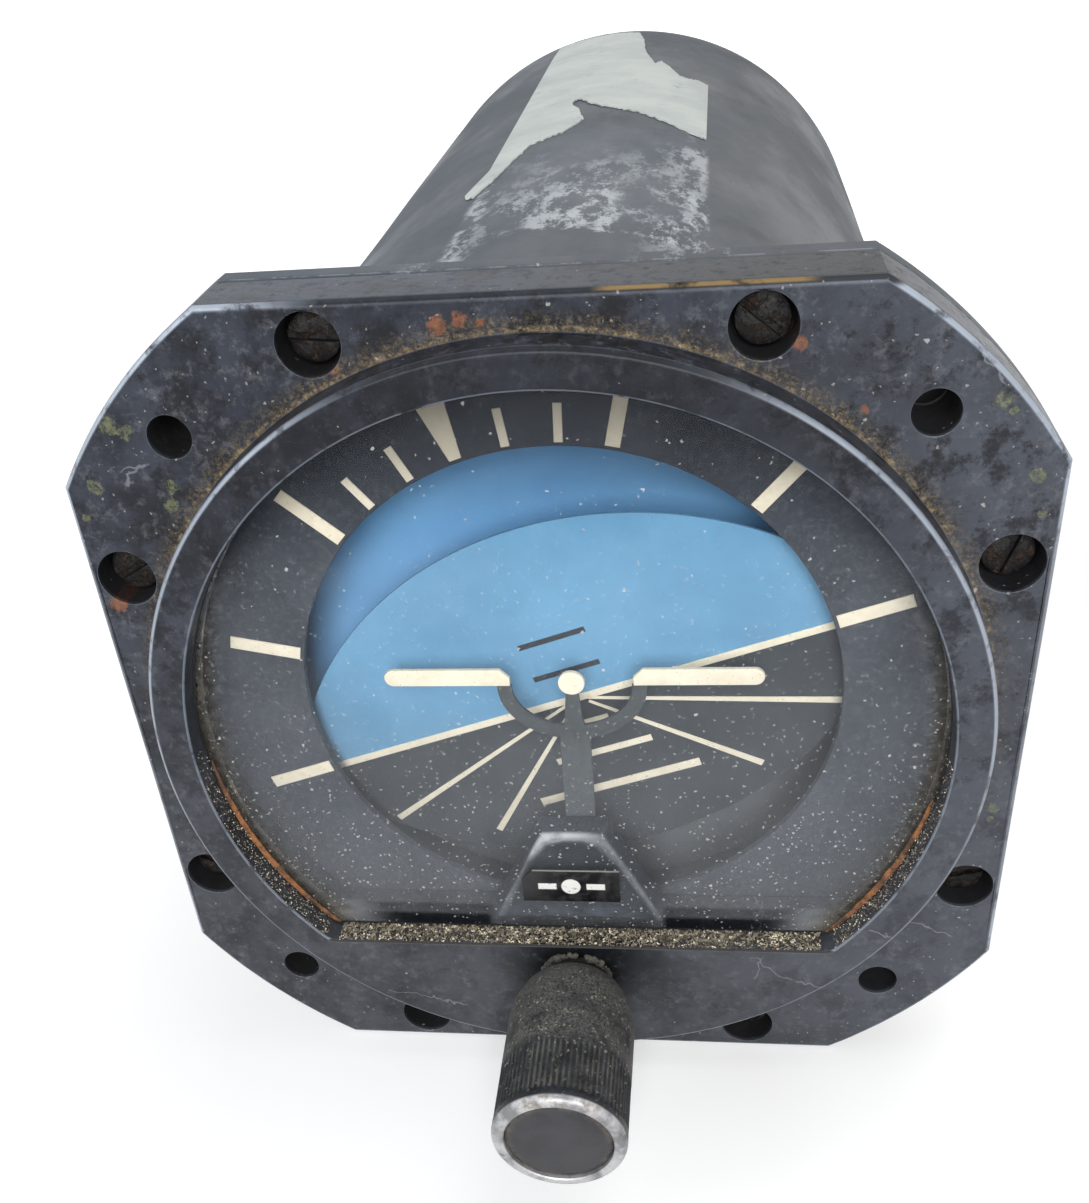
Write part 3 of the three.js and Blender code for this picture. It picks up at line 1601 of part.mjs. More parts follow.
function housingGroup() {
  const group = groupOf([
    piece('rotor_housing', makeHousing(), aluminium),
    piece('rotor_housing_lid', makeLid(), aluminium),
    piece('horizon_drive_pin', makeDrivePin(), brightSteel),
    piece('pitch_bearing_left', makePitchBearing(-1), brightSteel),
    piece('pitch_bearing_right', makePitchBearing(1), brightSteel),
    piece('rotor_bearing_upper', makeRotorBearing(true), brightSteel),
    piece('rotor_bearing_lower', makeRotorBearing(false), brightSteel),
    piece('rotor', makeRotor(), brassMetal),
    piece('rotor_shaft', makeRotorShaft(), brightSteel),
    piece('erection_body', makeErectionBody(), aluminium),
    vaneGroup('vane_pair_pitch', vaneShaftDrops[0], false),
    vaneGroup('vane_pair_roll', vaneShaftDrops[1], true),
  ])
  group.position.y = pitchAxisDepth
  group.rotation.x = pitchRestAngle
  return group
}

function horizonGroup() {
  const group = groupOf([
    piece('horizon_plate', makeHorizonPlate(), painted(0x7ab0d0, 0.7, 0)),
    piece('horizon_arm', makeHorizonArm(), aluminium),
    piece('horizon_counterweight', makeCounterweight(), brassMetal),
  ])
  group.position.y = armPivotDepth
  group.rotation.x = armRestAngle
  return group
}

function rollGroup() {
  const group = groupOf([
    piece('bank_dial', makeDial(), painted(0x46484c, 0.6, 0.1)),
    piece('dial_bracket_left', makeDialBracket(-1), aluminium),
    piece('dial_bracket_right', makeDialBracket(1), aluminium),
    piece('sky_background', makeSkyBackground(), painted(0x568abe, 0.7, 0)),
    piece('roll_gimbal_frame', makeGimbalFrame(), aluminium),
    piece('roll_shaft', makeRollShaft(), brightSteel),
    piece('roll_balance_weight', makeBalanceWeight(), brassMetal),
    piece('pitch_pivot_left', makePitchPivot(-1), brightSteel),
    piece('pitch_pivot_right', makePitchPivot(1), brightSteel),
    piece('horizon_arm_pivot', makeArmPivot(), brightSteel),
    horizonGroup(),
    housingGroup(),
  ])
  group.rotation.y = bankAngle
  return group
}

const attitudeIndicator = groupOf([
  ...fixedPieces(),
  ...knobPieces(),
  ...symbolPieces(),
  rollGroup(),
])

export default attitudeIndicator
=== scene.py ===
# Looks of the attitude indicator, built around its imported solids.
# Sizes are in millimetres and become metres as each mesh is made. +Z is up and the dial faces -Y.

import functools
import math
import operator
import random

import bmesh
import bpy
from mathutils import Matrix, Vector
from mathutils import noise as field
from mathutils.geometry import delaunay_2d_cdt, tessellate_polygon


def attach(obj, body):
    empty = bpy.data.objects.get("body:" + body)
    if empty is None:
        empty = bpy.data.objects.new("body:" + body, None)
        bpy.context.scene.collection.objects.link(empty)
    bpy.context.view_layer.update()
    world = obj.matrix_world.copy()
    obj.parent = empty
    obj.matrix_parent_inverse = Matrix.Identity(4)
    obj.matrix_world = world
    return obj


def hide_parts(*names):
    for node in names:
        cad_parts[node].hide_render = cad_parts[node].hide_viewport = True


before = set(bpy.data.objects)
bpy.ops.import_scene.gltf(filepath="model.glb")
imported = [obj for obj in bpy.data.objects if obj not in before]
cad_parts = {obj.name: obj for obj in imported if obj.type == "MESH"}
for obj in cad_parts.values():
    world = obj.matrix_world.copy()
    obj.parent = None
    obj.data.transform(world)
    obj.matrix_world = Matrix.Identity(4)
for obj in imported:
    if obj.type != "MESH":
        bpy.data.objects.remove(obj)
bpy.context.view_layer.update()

MM = 0.001
DEG = math.pi / 180

# Sizes shared with the solids
FLANGE_HALF = 42.31
FLANGE_STRAIGHT = 26.97
BEZEL_BACK = 6.4
HOLE_REACH = 31.43
HOLE_RADIUS = 1.95
SCREW_NEAR = 17.98
SCREW_FAR = 38.82
SCREW_RECESS = 2.7
SCREW_RECESS_DEPTH = 3.6
SCREW_BORE = 1.7
SCREW_SEAT = 2.05
RING_RADIUS = 39.08
RING_FRONT = -3.28
WINDOW_RADIUS = 35.52
WINDOW_DROP = 24.21
WINDOW_CORNER = 1.6
GLASS_RADIUS = 36.72
GLASS_DROP = 25.41
RECESS_RADIUS = 37.02
RECESS_DROP = 25.71
LIP_BACK = -0.88
GLASS_FRONT = -0.18
GLASS_BACK = 1.32
POCKET_HALF = 7.6
POCKET_FRONT = 2.67
POCKET_FLOOR = 39.1
HOOD_TOP = -13.21
HOOD_FOOT = -25.41
HOOD_FRONT = 2.02
HOOD_BACK = 4.47
KNOB_DROP = 28.9
KNOB_RADIUS = 6.4
KNOB_REAR = -4.68
KNOB_FRONT = -24.1
BUSHING_RADIUS = 2.6
GASKET_FRONT = 6.45
GASKET_BACK = 7.05
GASKET_OPENING = 38.2
CASE_FRONT = 7.1
CASE_FLANGE_BACK = 9.5
CASE_RADIUS = 40.6
CASE_INNER = 39.1
CASE_END = 157
CASE_WALL = 2.5
CASE_SCREW_HOLE = 1.52
HUB_HOLE = 12.8
HUB_RADIUS = 12.5
HUB_BORE = 8.1
HUB_FRONT = 119
HUB_FLOOR = 152.2
HUB_FLANGE_RADIUS = 24
REAR_SCREW_REACH = 18.5
REAR_FRONT = 157.05
REAR_BACK = 160.45
CAP_RADIUS = 9.5
CAP_FRONT = 160.5
CAP_END = 169.5
PORT_DROP = 31
PORT_FRONT = 152.65
PORT_END = 179.65
BANK = -18.3 * DEG
ARM_TILT = 1.485 * DEG
ARM_PIVOT = 95
DIAL_FRONT = 6.85
DIAL_BACK = 7.65
DIAL_OPENING = 26.7
DIAL_RADIUS = 37.5
MARK_FOOT = 27.1
LONG_MARK = 34.2
SHORT_MARK = 30.7
SKY_FRONT = 17.6
SKY_BACK = 18.4
SKY_RADIUS = 33
SKY_FLAT = 28.2
PLATE_HALF = 31.5
PLATE_TOP = 20
PLATE_SHOULDER = 2.23
PLATE_FRONT = -84.9
SYMBOL_FRONT = 4.77
SYMBOL_BACK = 5.17
SYMBOL_X = 0.65
WING_HEIGHT = 3.75

# Screw heads, the same on the bezel and on the rear
HEAD_RADIUS = 2.3
HEAD_HEIGHT = 1.5
SLOT_HALF = 0.35
SLOT_DEPTH = 0.6
SCREW_GRIP = 5.4
BEZEL_SCREW_TURNS = (68, 24, 5, -28, 78, -15, 40, 110)
REAR_SCREW_TURNS = (12, -35, 60, 85)

CORNERS = [(sx, sz) for sx in (-1, 1) for sz in (-1, 1)]
HOLE_PLACES = [(sx * HOLE_REACH, sz * HOLE_REACH) for sx, sz in CORNERS]
SCREW_PLACES = [place for sx, sz in CORNERS
                for place in ((sx * SCREW_NEAR, sz * SCREW_FAR), (sx * SCREW_FAR, sz * SCREW_NEAR))]

# (x, z, radius) of spots and (start, end, half width) of scratches on the bezel's face
GREEN_FLECKS = [(-36.6, 32.6, 0.9), (-35.2, 31.9, 0.8), (-39.2, 27.1, 0.8), (-32.4, 27, 0.9), (-32.6, 25.2, 0.8),
                (-41, 24.1, 0.5), (36.4, 32.3, 0.8), (37.2, 31.4, 0.5), (39.7, 26, 0.7), (40.5, 22.6, 0.5),
                (40.5, -7.9, 0.7), (40.2, -9.3, 0.4)]
RUST_FLECKS = [(-7.2, 39.9, 0.9), (-5.4, 40.3, 0.9), (-3.9, 40.1, 0.5), (25.9, 31.9, 0.5), (-40.2, 15.4, 1),
               (-16.6, 37.4, 1), (20.8, 37.4, 0.8)]
FLANGE_SCRATCHES = [
    ((29.6, -20.9), (38.6, -24.8), 0.07), ((-33.9, 29.5), (-36.6, 27.2), 0.09), ((-34.4, 28.9), (-36.8, 28.4), 0.06),
    ((-38.4, 35.6), (-36.2, 33.6), 0.08), ((33.5, 37), (36.8, 33.2), 0.06), ((17.9, -24.9), (22.2, -28.4), 0.06),
    ((22.2, -28.4), (27.3, -29.4), 0.06), ((19.4, -25.2), (18.6, -28.6), 0.05), ((-20.5, -31.5), (-12.2, -33.6), 0.05),
]
# The crest of the arch that is raised on the hood, in (x, z)
HOOD_ARCH = [(-8.5, -24.6), (-5.4, -17.2), (-3.6, -14.6), (-1.2, -13.9), (1.2, -13.95), (3, -15), (5.4, -18.4),
             (9, -25)]
ARCH_RISE = 0.62

# The torn edges of the label, as (angle in degrees about the roll axis, y)
LABEL_LOWER = [(-18, 47), (-16.2, 45), (-15.4, 47), (-13.8, 51.5), (-12.2, 58.7), (-10.4, 66.3), (-7.6, 68.5),
               (-5.3, 69.6), (-3.6, 73.5), (-2.3, 76.8), (-4, 84), (-5.9, 89), (-5, 92.4), (-2.5, 88), (0.8, 84.6),
               (4, 82.5), (7.4, 80.8), (11, 77.5), (16.4, 73.2), (20, 71.5)]
LABEL_UPPER = [(20, 110), (17.4, 111.5), (16.2, 110.8), (14, 111.5), (12, 117), (9.8, 122.7), (8.4, 120), (6.6, 127),
               (5.6, 133), (4.9, 143), (3.4, 151.5), (0, 152.5), (-4, 153), (-8.8, 152.5), (-12.6, 153), (-17.1, 153)]

# The camera, found from the photograph's outlines. A pixel of the photograph is a 1203rd of its longer side.
PHOTO_SIZE = (1089, 1203)
FOCAL_PIXELS = 1286.789
CENTRE_PIXEL = (527.539, 710.042)
SENSOR = 36
CAMERA_PLACE = (13.63, -98.39, 71.495)
CAMERA_ROWS = ((0.99043, 0.11266, -0.07967), (-0.0013, -0.56968, -0.82187), (-0.13798, 0.81411, -0.56408))
FLOOR_HEIGHT = -0.0426


def linear(color):
    """A colour as it looks on a screen, from 0 to 255, as linear light."""
    shares = [part / 255 for part in color]
    return (*(s / 12.92 if s <= 0.04045 else ((s + 0.055) / 1.055) ** 2.4 for s in shares), 1)


class Value:
    """A node's output, worked on with plain operators. a | b is the greater of the two."""

    def __init__(self, graph, socket):
        self.graph = graph
        self.socket = socket

    def __add__(self, other):
        return self.graph.math("ADD", self, other)

    def __sub__(self, other):
        return self.graph.math("SUBTRACT", self, other)

    def __mul__(self, other):
        return self.graph.math("MULTIPLY", self, other)

    def __or__(self, other):
        return self.graph.math("MAXIMUM", self, other)

    def __abs__(self):
        return self.graph.math("ABSOLUTE", self)

    def also(self, output):
        """Another output of the same node."""
        return Value(self.graph, self.socket.node.outputs[output])

    def step(self, low, high, first=0, last=1):
        """first up to low, last from high on, and a soft step between them. Low may be above high."""
        if low > high:
            low, high, first, last = high, low, last, first
        limits = {"Value": self, "From Min": low, "From Max": high, "To Min": first, "To Max": last}
        return self.graph.node("MapRange", limits, interpolation_type="SMOOTHSTEP")

    def band(self, start, low, high, end):
        """1 between low and high, 0 before start and after end."""
        return self.step(start, low) * self.step(end, high)

    def between(self, a, b):
        """a where this is 0, and b where it is 1."""
        return self.graph.node("Mix", {0: self, 2: a, 3: b})


class Graph:
    """The nodes of a material or of the world."""

    def __init__(self, owner):
        owner.use_nodes = True
        self.tree = owner.node_tree

    def feed(self, socket, value):
        """Links a node's output, or sets a value. Three numbers are a colour on a screen, four are linear light."""
        if isinstance(value, Value):
            self.tree.links.new(value.socket, socket)
        else:
            on_screen = socket.type == "RGBA" and len(value) == 3
            socket.default_value = linear(value) if on_screen else value

    def node(self, kind, inputs=None, out=0, **settings):
        made = self.tree.nodes.new("ShaderNode" + kind)
        for key, value in settings.items():
            setattr(made, key, value)
        for key, value in (inputs or {}).items():
            self.feed(made.inputs[key], value)
        return Value(self, made.outputs[out])

    def math(self, operation, a, b=0):
        return self.node("Math", {0: a, 1: b}, operation=operation)

    def most(self, values):
        return functools.reduce(operator.or_, values)

    def vector(self, operation, a, b):
        """Arithmetic on vectors. What measures them gives a number."""
        second = "Scale" if operation == "SCALE" else 1
        measures = operation in ("DISTANCE", "DOT_PRODUCT")
        return self.node("VectorMath", {0: a, second: b}, "Value" if measures else "Vector", operation=operation)

    def split(self, value, kind="SeparateXYZ"):
        first = self.node(kind, {0: value})
        return first, first.also(1), first.also(2)

    def show(self, shader):
        self.tree.links.new(shader, self.tree.nodes.new("ShaderNodeOutputMaterial").inputs["Surface"])

    def seen(self):
        """1 for what the camera sees, also in metal and through glass, and 0 for light that falls on a surface."""
        camera = self.node("LightPath", out="Is Camera Ray")
        return camera | camera.also("Is Glossy Ray") | camera.also("Is Transmission Ray")


class Look(Graph):
    """A material whose nodes read places on the piece, in millimetres."""

    def __init__(self, name, roughness, specular=0.5, metallic=0):
        self.material = bpy.data.materials.new(name)
        super().__init__(self.material)
        self.tree.nodes.clear()
        self.shader = self.tree.nodes.new("ShaderNodeBsdfPrincipled")
        self.show(self.shader.outputs[0])
        for key, value in (("Roughness", roughness), ("Specular IOR Level", specular), ("Metallic", metallic)):
            self.shader.inputs[key].default_value = value
        coordinates = self.node("TexCoord", out="Object")
        self.place = self.vector("SCALE", coordinates, 1 / MM)
        self.x, self.y, self.z = self.split(self.place)
        _, self.normal_y, self.normal_z = self.split(coordinates.also("Normal"))
        self.radius = self.reach(0, 0)
        self.crumpled = None
        self.color = None

    def reach(self, x, z, across=1, mirrored=False):
        """The distance from (x, z) seen along Y, with x shortened by a factor, or from its nearest mirror image."""
        flat = self.vector("MULTIPLY", self.place, (across, 0, 1))
        if mirrored:
            flat = self.node("VectorMath", {0: flat}, operation="ABSOLUTE")
        return self.vector("DISTANCE", flat, (x, 0, z))

    def banked_height(self):
        """The height along the banked dial's own upright."""
        return self.vector("DOT_PRODUCT", self.place, (math.sin(BANK), 0, math.cos(BANK)))

    def noise(self, per_mm, detail, roughness, shift=0, stretch=None, warp=0):
        at = self.vector("MULTIPLY", self.place, stretch) if stretch else self.place
        if shift:
            at = self.vector("ADD", at, (shift, shift * 0.7, shift * 1.3))
        inputs = {"Vector": at, "Scale": per_mm, "Detail": detail, "Roughness": roughness, "Distortion": warp}
        return self.node("TexNoise", inputs)

    def shaken(self, per_mm, detail, distance):
        """The place, moved about a little by noise."""
        waves = self.node("TexNoise", {"Vector": self.place, "Scale": per_mm, "Detail": detail}, "Color")
        moved = self.vector("SCALE", self.vector("SUBTRACT", waves, (0.5, 0.5, 0.5)), distance)
        return self.vector("ADD", self.place, moved)

    def specks(self, per_mm, size, share, shift=0):
        """Small round spots: per_mm cells a millimetre, a spot's size in cells, and the share of cells with one."""
        if self.crumpled is None:
            self.crumpled = self.shaken(3.5, 3, 0.5)
        at = self.vector("ADD", self.crumpled, (shift, shift * 1.1, shift * 0.6)) if shift else self.crumpled
        distance = self.node("TexVoronoi", {"Vector": at, "Scale": per_mm}, "Distance")
        chance, bulk, _ = self.split(distance.also("Color"), "SeparateColor")
        spread = self.math("POWER", bulk, 3) * (size * 0.85) + size * 0.15
        return self.math("DIVIDE", distance, spread).step(1, 0.65) * self.math("LESS_THAN", chance, share)

    def spots(self, places, ragged, edge):
        """Ragged patches round (x, z, radius) places, seen along Y."""
        wobble = self.noise(0.9, 5, 0.7, shift=31) * (2 * ragged) - ragged
        return self.most((self.reach(x, z) + wobble * radius).step(radius, radius * (1 - edge))
                         for x, z, radius in places)

    def scratches(self, lines):
        """Thin lines between two (x, z) places, with a half width, seen along Y."""
        bent = self.shaken(0.7, 2, 2.2)
        marks = []
        for (ax, az), (bx, bz), half in lines:
            span = Vector((bx - ax, bz - az))
            unit = span.normalized()
            away = self.vector("SUBTRACT", bent, (ax, 0, az))
            along = self.vector("DOT_PRODUCT", away, (unit.x, 0, unit.y))
            across = abs(self.vector("DOT_PRODUCT", away, (-unit.y, 0, unit.x)))
            inside = along.step(-0.1, 0.3) * along.step(span.length + 0.1, span.length - 0.6)
            marks.append(inside * across.step(half * 2, half * 0.6))
        return self.most(marks)

    def bevels(self):
        """1 on rounded front edges, 0 on front faces and on sides."""
        facing = abs(self.normal_y)
        return facing.band(0.12, 0.42, 0.86, 0.985)

    def blend(self, share, a, b):
        """A colour between two, each a node's output or (red, green, blue) as on a screen."""
        return self.node("Mix", {0: share, 6: a, 7: b}, 2, data_type="RGBA")

    def base(self, share, a, b):
        self.color = self.blend(share, a, b)

    def coat(self, share, *color):
        """Lays a colour over what there is so far."""
        self.color = self.blend(share, self.color, color if len(color) > 1 else color[0])

    def bump(self, height, strength, depth):
        inputs = {"Strength": strength, "Distance": depth * MM, "Height": height}
        self.feed(self.shader.inputs["Normal"], self.node("Bump", inputs))

    def set(self, roughness, metallic=None, alpha=None):
        values = {"Base Color": self.color, "Roughness": roughness, "Metallic": metallic, "Alpha": alpha}
        for key, value in values.items():
            if value is not None:
                self.feed(self.shader.inputs[key], value)
        return self.material


def flange_paint():
    look = Look("flange_paint", 0.42, 0.2)
    radius = look.radius
    height = look.z
    cloud = look.noise(0.13, 6, 0.68).step(0.36, 0.62)
    blotch = look.noise(0.3, 6, 0.72, shift=13).step(0.48, 0.62)
    # Painted light: the face is painted lighter towards the bottom and to the right, and its dark blotches are
    # stronger towards the top.
    lower = height.step(36, -26)
    look.base(cloud, (26, 29, 36), (52, 56, 66))
    look.coat(lower * 0.8, look.blend(cloud, (58, 60, 65), (74, 76, 81)))
    right = look.x.step(4, 44)
    look.coat(right * 0.45, 88, 92, 100)
    deep = lower.between(0.85, 0.3)
    look.coat(blotch * deep, 20, 21, 25)
    haze = look.noise(0.7, 6, 0.78, shift=7).step(0.5, 0.7)
    look.coat(haze * 0.42, 112, 114, 120)
    scuffs = look.noise(0.5, 6, 0.75, shift=3, stretch=(1, 1, 7)).step(0.62, 0.72)
    look.coat(scuffs * 0.25, 124, 124, 128)
    scratch = look.scratches(FLANGE_SCRATCHES)
    look.coat(scratch * 0.4, 150, 150, 152)
    outside = radius.step(39.3, 39.7) * look.y.step(5, 4)
    green = look.spots(GREEN_FLECKS, 1.3, 0.3) * outside
    mottle = look.noise(2.2, 5, 0.8, shift=51).step(0.36, 0.62)
    look.coat(green * mottle * 0.8, 112, 116, 86)
    rust = look.spots(RUST_FLECKS, 1.3, 0.5) * outside
    look.coat(rust * mottle.between(0.35, 1), 130, 84, 60)
    # Painted shade: the walls of the holes and screw recesses are painted dark
    round_holes = ((HOLE_REACH, HOLE_REACH, HOLE_RADIUS), (SCREW_NEAR, SCREW_FAR, SCREW_RECESS),
                   (SCREW_FAR, SCREW_NEAR, SCREW_RECESS))
    within = [look.reach(x, z, mirrored=True).step(wall + 0.25, wall + 0.05) for x, z, wall in round_holes]
    shaded_hole_wall = look.most(within) * look.y.step(0.15, 0.6)
    look.coat(shaded_hole_wall * 0.85, 20, 19, 20)
    # A dark stain above the knob's collar
    stain = look.reach(0.5, -26.6, across=0.6).step(7, 2.6) * look.noise(0.5, 5, 0.7, shift=37).step(0.24, 0.48)
    look.coat(stain * 0.92, 15, 16, 19)
    # Painted light: the level top side is painted paler, as if lit from above, with tan dust to the right
    upper = look.normal_z.step(0.55, 0.9) * height.step(41, 42)
    slate = look.blend(look.x.step(-10, 24), (63, 71, 82), (40, 40, 39))
    look.coat(upper * blotch.between(0.75, 0.35), slate)
    # Painted shade: the ring's face is painted darkest above
    over = radius.step(39.3, 38.6) * height.step(12, 38)
    look.coat(over * 0.6, 14, 16, 22)
    # Grime lies along the foot of the ring, thicker above
    foot = radius.band(39.1, 39.4, 39.6, 41.2)
    line = radius.band(39.1, 39.25, 39.4, 39.75)
    above = height.step(-16, 30, 0.1, 1)
    grains = look.noise(2.4, 5, 0.85, shift=21).step(0.44, 0.58)
    packed = look.noise(1.4, 6, 0.85, shift=33).step(0.42, 0.56)
    front = look.y.step(0.9, 0.2)
    grime = (foot * grains * 0.5 | line * packed) * above * front
    sandy = look.blend(look.noise(1.9, 4, 0.8, shift=43).step(0.4, 0.6), (96, 82, 62), (158, 140, 110))
    look.coat(grime * 0.8, sandy)
    # Worn edges show bare metal; along the ring's edge this is also a painted highlight, strongest on its upper sides.
    wear = look.noise(0.35, 5, 0.7, shift=17).step(0.3, 0.5)
    corner = radius.step(44.5, 49, 0.45, 1)
    inside = radius.step(39.3, 38.9)
    rim = radius.step(37.4, 38.3) * abs(look.x).step(8, 24, 0.1, 1) * height.step(-14, 2, 0.3, 1)
    edge = look.bevels() * wear * (corner | inside * rim.between(0.2, 0.85))
    # The middle of the ring's edge and the right of the top edge are dull, and painted dark there as painted shade
    level_edge = height.step(41.2, 41.8) * look.x.step(-24, -14)
    crown = abs(look.x).step(24, 9) * height.step(24, 34) * radius.band(37, 38, 39, 39.3)
    dull = (level_edge | crown) * look.bevels()
    edge = edge * dull.between(1, 0.15)
    look.coat(edge, 160, 168, 180)
    look.coat(dull * 0.6, 30, 30, 31)
    # Dust dulls the edge of the window's level sill
    sill = height.band(-24.8, -24.6, -24.15, -24) * abs(look.x).step(27.6, 26.4) * look.bevels()
    look.coat(sill * 0.9, 62, 58, 51)
    dull = dull | sill
    # The paint is worn to brass on the right part of the top front edge
    brass = look.x.band(4.6, 6.4, 20.5, 22.5) * height.step(41.6, 42) * look.bevels() * wear
    look.coat(brass * height.step(41.95, 42.15), 134, 112, 78)
    dust = look.specks(0.7, 0.16, 0.25)
    lint = look.specks(1.7, 0.26, 0.3, shift=9)
    look.coat((dust | lint * 0.7) * 0.65, 176, 174, 168)
    roughness = (haze * 0.5 | grime * 0.8 | dull | shaded_hole_wall).between(0.36, 0.98)
    look.bump(look.noise(1.6, 5, 0.7) * 0.5 + grime * 1.5, 0.5, 0.12)
    return look.set(roughness, edge.between(0.1, 0.5))


def case_paint():
    look = Look("case_paint", 0.5, 0.15)
    # Painted light: the case is painted bluer and darker on the left and lighter grey on the right.
    side = look.x.step(-32, 28)
    cloud = look.noise(0.06, 6, 0.62, stretch=(1, 0.5, 1)).step(0.32, 0.68)
    look.base(side, (68, 77, 87), (86, 89, 93))
    look.coat(cloud * 0.5, 99, 103, 107)
    dark = look.noise(0.22, 6, 0.72, shift=5).step(0.52, 0.68)
    look.coat(dark * 0.5, 78, 82, 88)
    streaks = look.noise(0.6, 5, 0.7, shift=2, stretch=(1, 5, 1)).step(0.6, 0.74)
    look.coat(streaks * 0.22, 142, 144, 148)
    # Glue and paper fibres left where a label was rubbed off
    angle = look.math("ARCTAN2", look.x, look.z) * (180 / math.pi)
    wide = angle.band(-16.5, -14.5, 19.4, 20.4)
    rubbed = wide * look.y.band(24, 30, 62, 88)
    look.coat(rubbed * 0.6, 92, 98, 106)
    patches = look.noise(0.11, 5, 0.65, shift=47, stretch=(1, 0.5, 1)).step(0.4, 0.54)
    fibres = look.noise(0.42, 9, 0.78, shift=41, stretch=(1, 0.4, 1)).step(0.47, 0.56) * patches
    hem = look.y + (look.noise(0.12, 6, 0.7, shift=61) - 0.5) * 26
    near = hem.band(23, 26, 36, 66) * angle.step(-16, 2, 0.3, 1)
    beside = angle.step(8, 19) * look.y.step(98, 60)
    left = angle.step(-10, -15) * look.y.step(60, 44)
    paper = fibres * wide * (near | beside * 0.8 | left)
    look.coat(paper * 0.9, 190, 195, 199)
    dust = look.specks(0.55, 0.1, 0.3)
    look.coat(dust * 0.6, 190, 188, 184)
    rubs = look.noise(0.35, 4, 0.9, shift=71, stretch=(4, 0.25, 4), warp=0.4).step(0.7, 0.76)
    look.coat(rubs * 0.4, 158, 160, 163)
    smudge = look.noise(0.045, 4, 0.7, shift=81).step(0.55, 0.68)
    look.coat(smudge * 0.35, 64, 66, 70)
    chips = look.noise(0.5, 5, 0.75, shift=11).step(0.46, 0.56)
    rear = look.y.step(153.6, 156) * look.radius.step(37.6, 39.6)
    wear = (look.bevels() | rear) * chips
    look.coat(wear * 0.75, 150, 152, 156)
    # Painted shade: the walls of the mounting holes are painted dark
    shaded_mount_hole = look.reach(HOLE_REACH, HOLE_REACH, mirrored=True).step(HOLE_RADIUS + 0.2, HOLE_RADIUS + 0.1)
    look.coat(shaded_mount_hole * 0.95, 8, 8, 9)
    roughness = ((cloud | paper) * 0.55 | shaded_mount_hole).between(0.4, 0.98)
    look.bump(look.noise(0.9, 6, 0.7) + paper * 0.8, 0.35, 0.12)
    return look.set(roughness)


def label_paper():
    look = Look("label_paper", 0.75, 0.2)
    cloud = look.noise(0.1, 6, 0.6).step(0.35, 0.65)
    look.base(cloud, (182, 188, 186), (198, 203, 199))
    fibres = look.noise(0.8, 6, 0.75, shift=8).step(0.55, 0.75)
    look.coat(fibres * 0.35, 150, 156, 158)
    stain = look.noise(0.25, 5, 0.7, shift=4).step(0.58, 0.72)
    look.coat(stain * 0.5, 128, 134, 138)
    look.bump(look.noise(0.7, 6, 0.75), 0.4, 0.1)
    return look.set(fibres.between(0.6, 0.85))


def rubber():
    look = Look("worn_rubber", 0.85)
    cloud = look.noise(0.6, 5, 0.7).step(0.35, 0.7)
    look.base(cloud, (20, 20, 22), (44, 43, 44))
    look.coat(look.specks(1.1, 0.22, 0.25) * 0.7, 150, 138, 118)
    look.bump(look.noise(2, 4, 0.7), 0.5, 0.06)
    return look.set(cloud.between(0.7, 0.95))


def rusty_steel():
    look = Look("rusty_steel", 0.6, metallic=0.5)
    cloud = look.noise(0.7, 6, 0.7).step(0.35, 0.65)
    look.base(cloud, (13, 12, 13), (36, 34, 34))
    rust = look.noise(0.8, 6, 0.8, shift=6).step(0.5, 0.64)
    look.coat(rust * 0.45, 84, 60, 44)
    pale = look.noise(1.7, 6, 0.8, shift=16).step(0.54, 0.68)
    look.coat(pale * 0.3, 116, 107, 95)
    look.bump(look.noise(1.8, 6, 0.75) + rust, 0.8, 0.15)
    return look.set(rust.between(0.45, 0.9), rust.between(0.5, 0.1))


def metal(name, dark, light, roughness, stretch=(1, 6, 1), metallic=0.9):
    look = Look(name, roughness, metallic=metallic)
    cloud = look.noise(0.25, 5, 0.6).step(0.3, 0.7)
    lines = look.noise(2.2, 3, 0.7, shift=3, stretch=stretch).step(0.35, 0.7)
    look.base(cloud, dark, light)
    look.coat(lines * 0.35, dark)
    look.bump(lines, 0.2, 0.03)
    return look.set(lines.between(roughness * 0.8, roughness * 1.4))


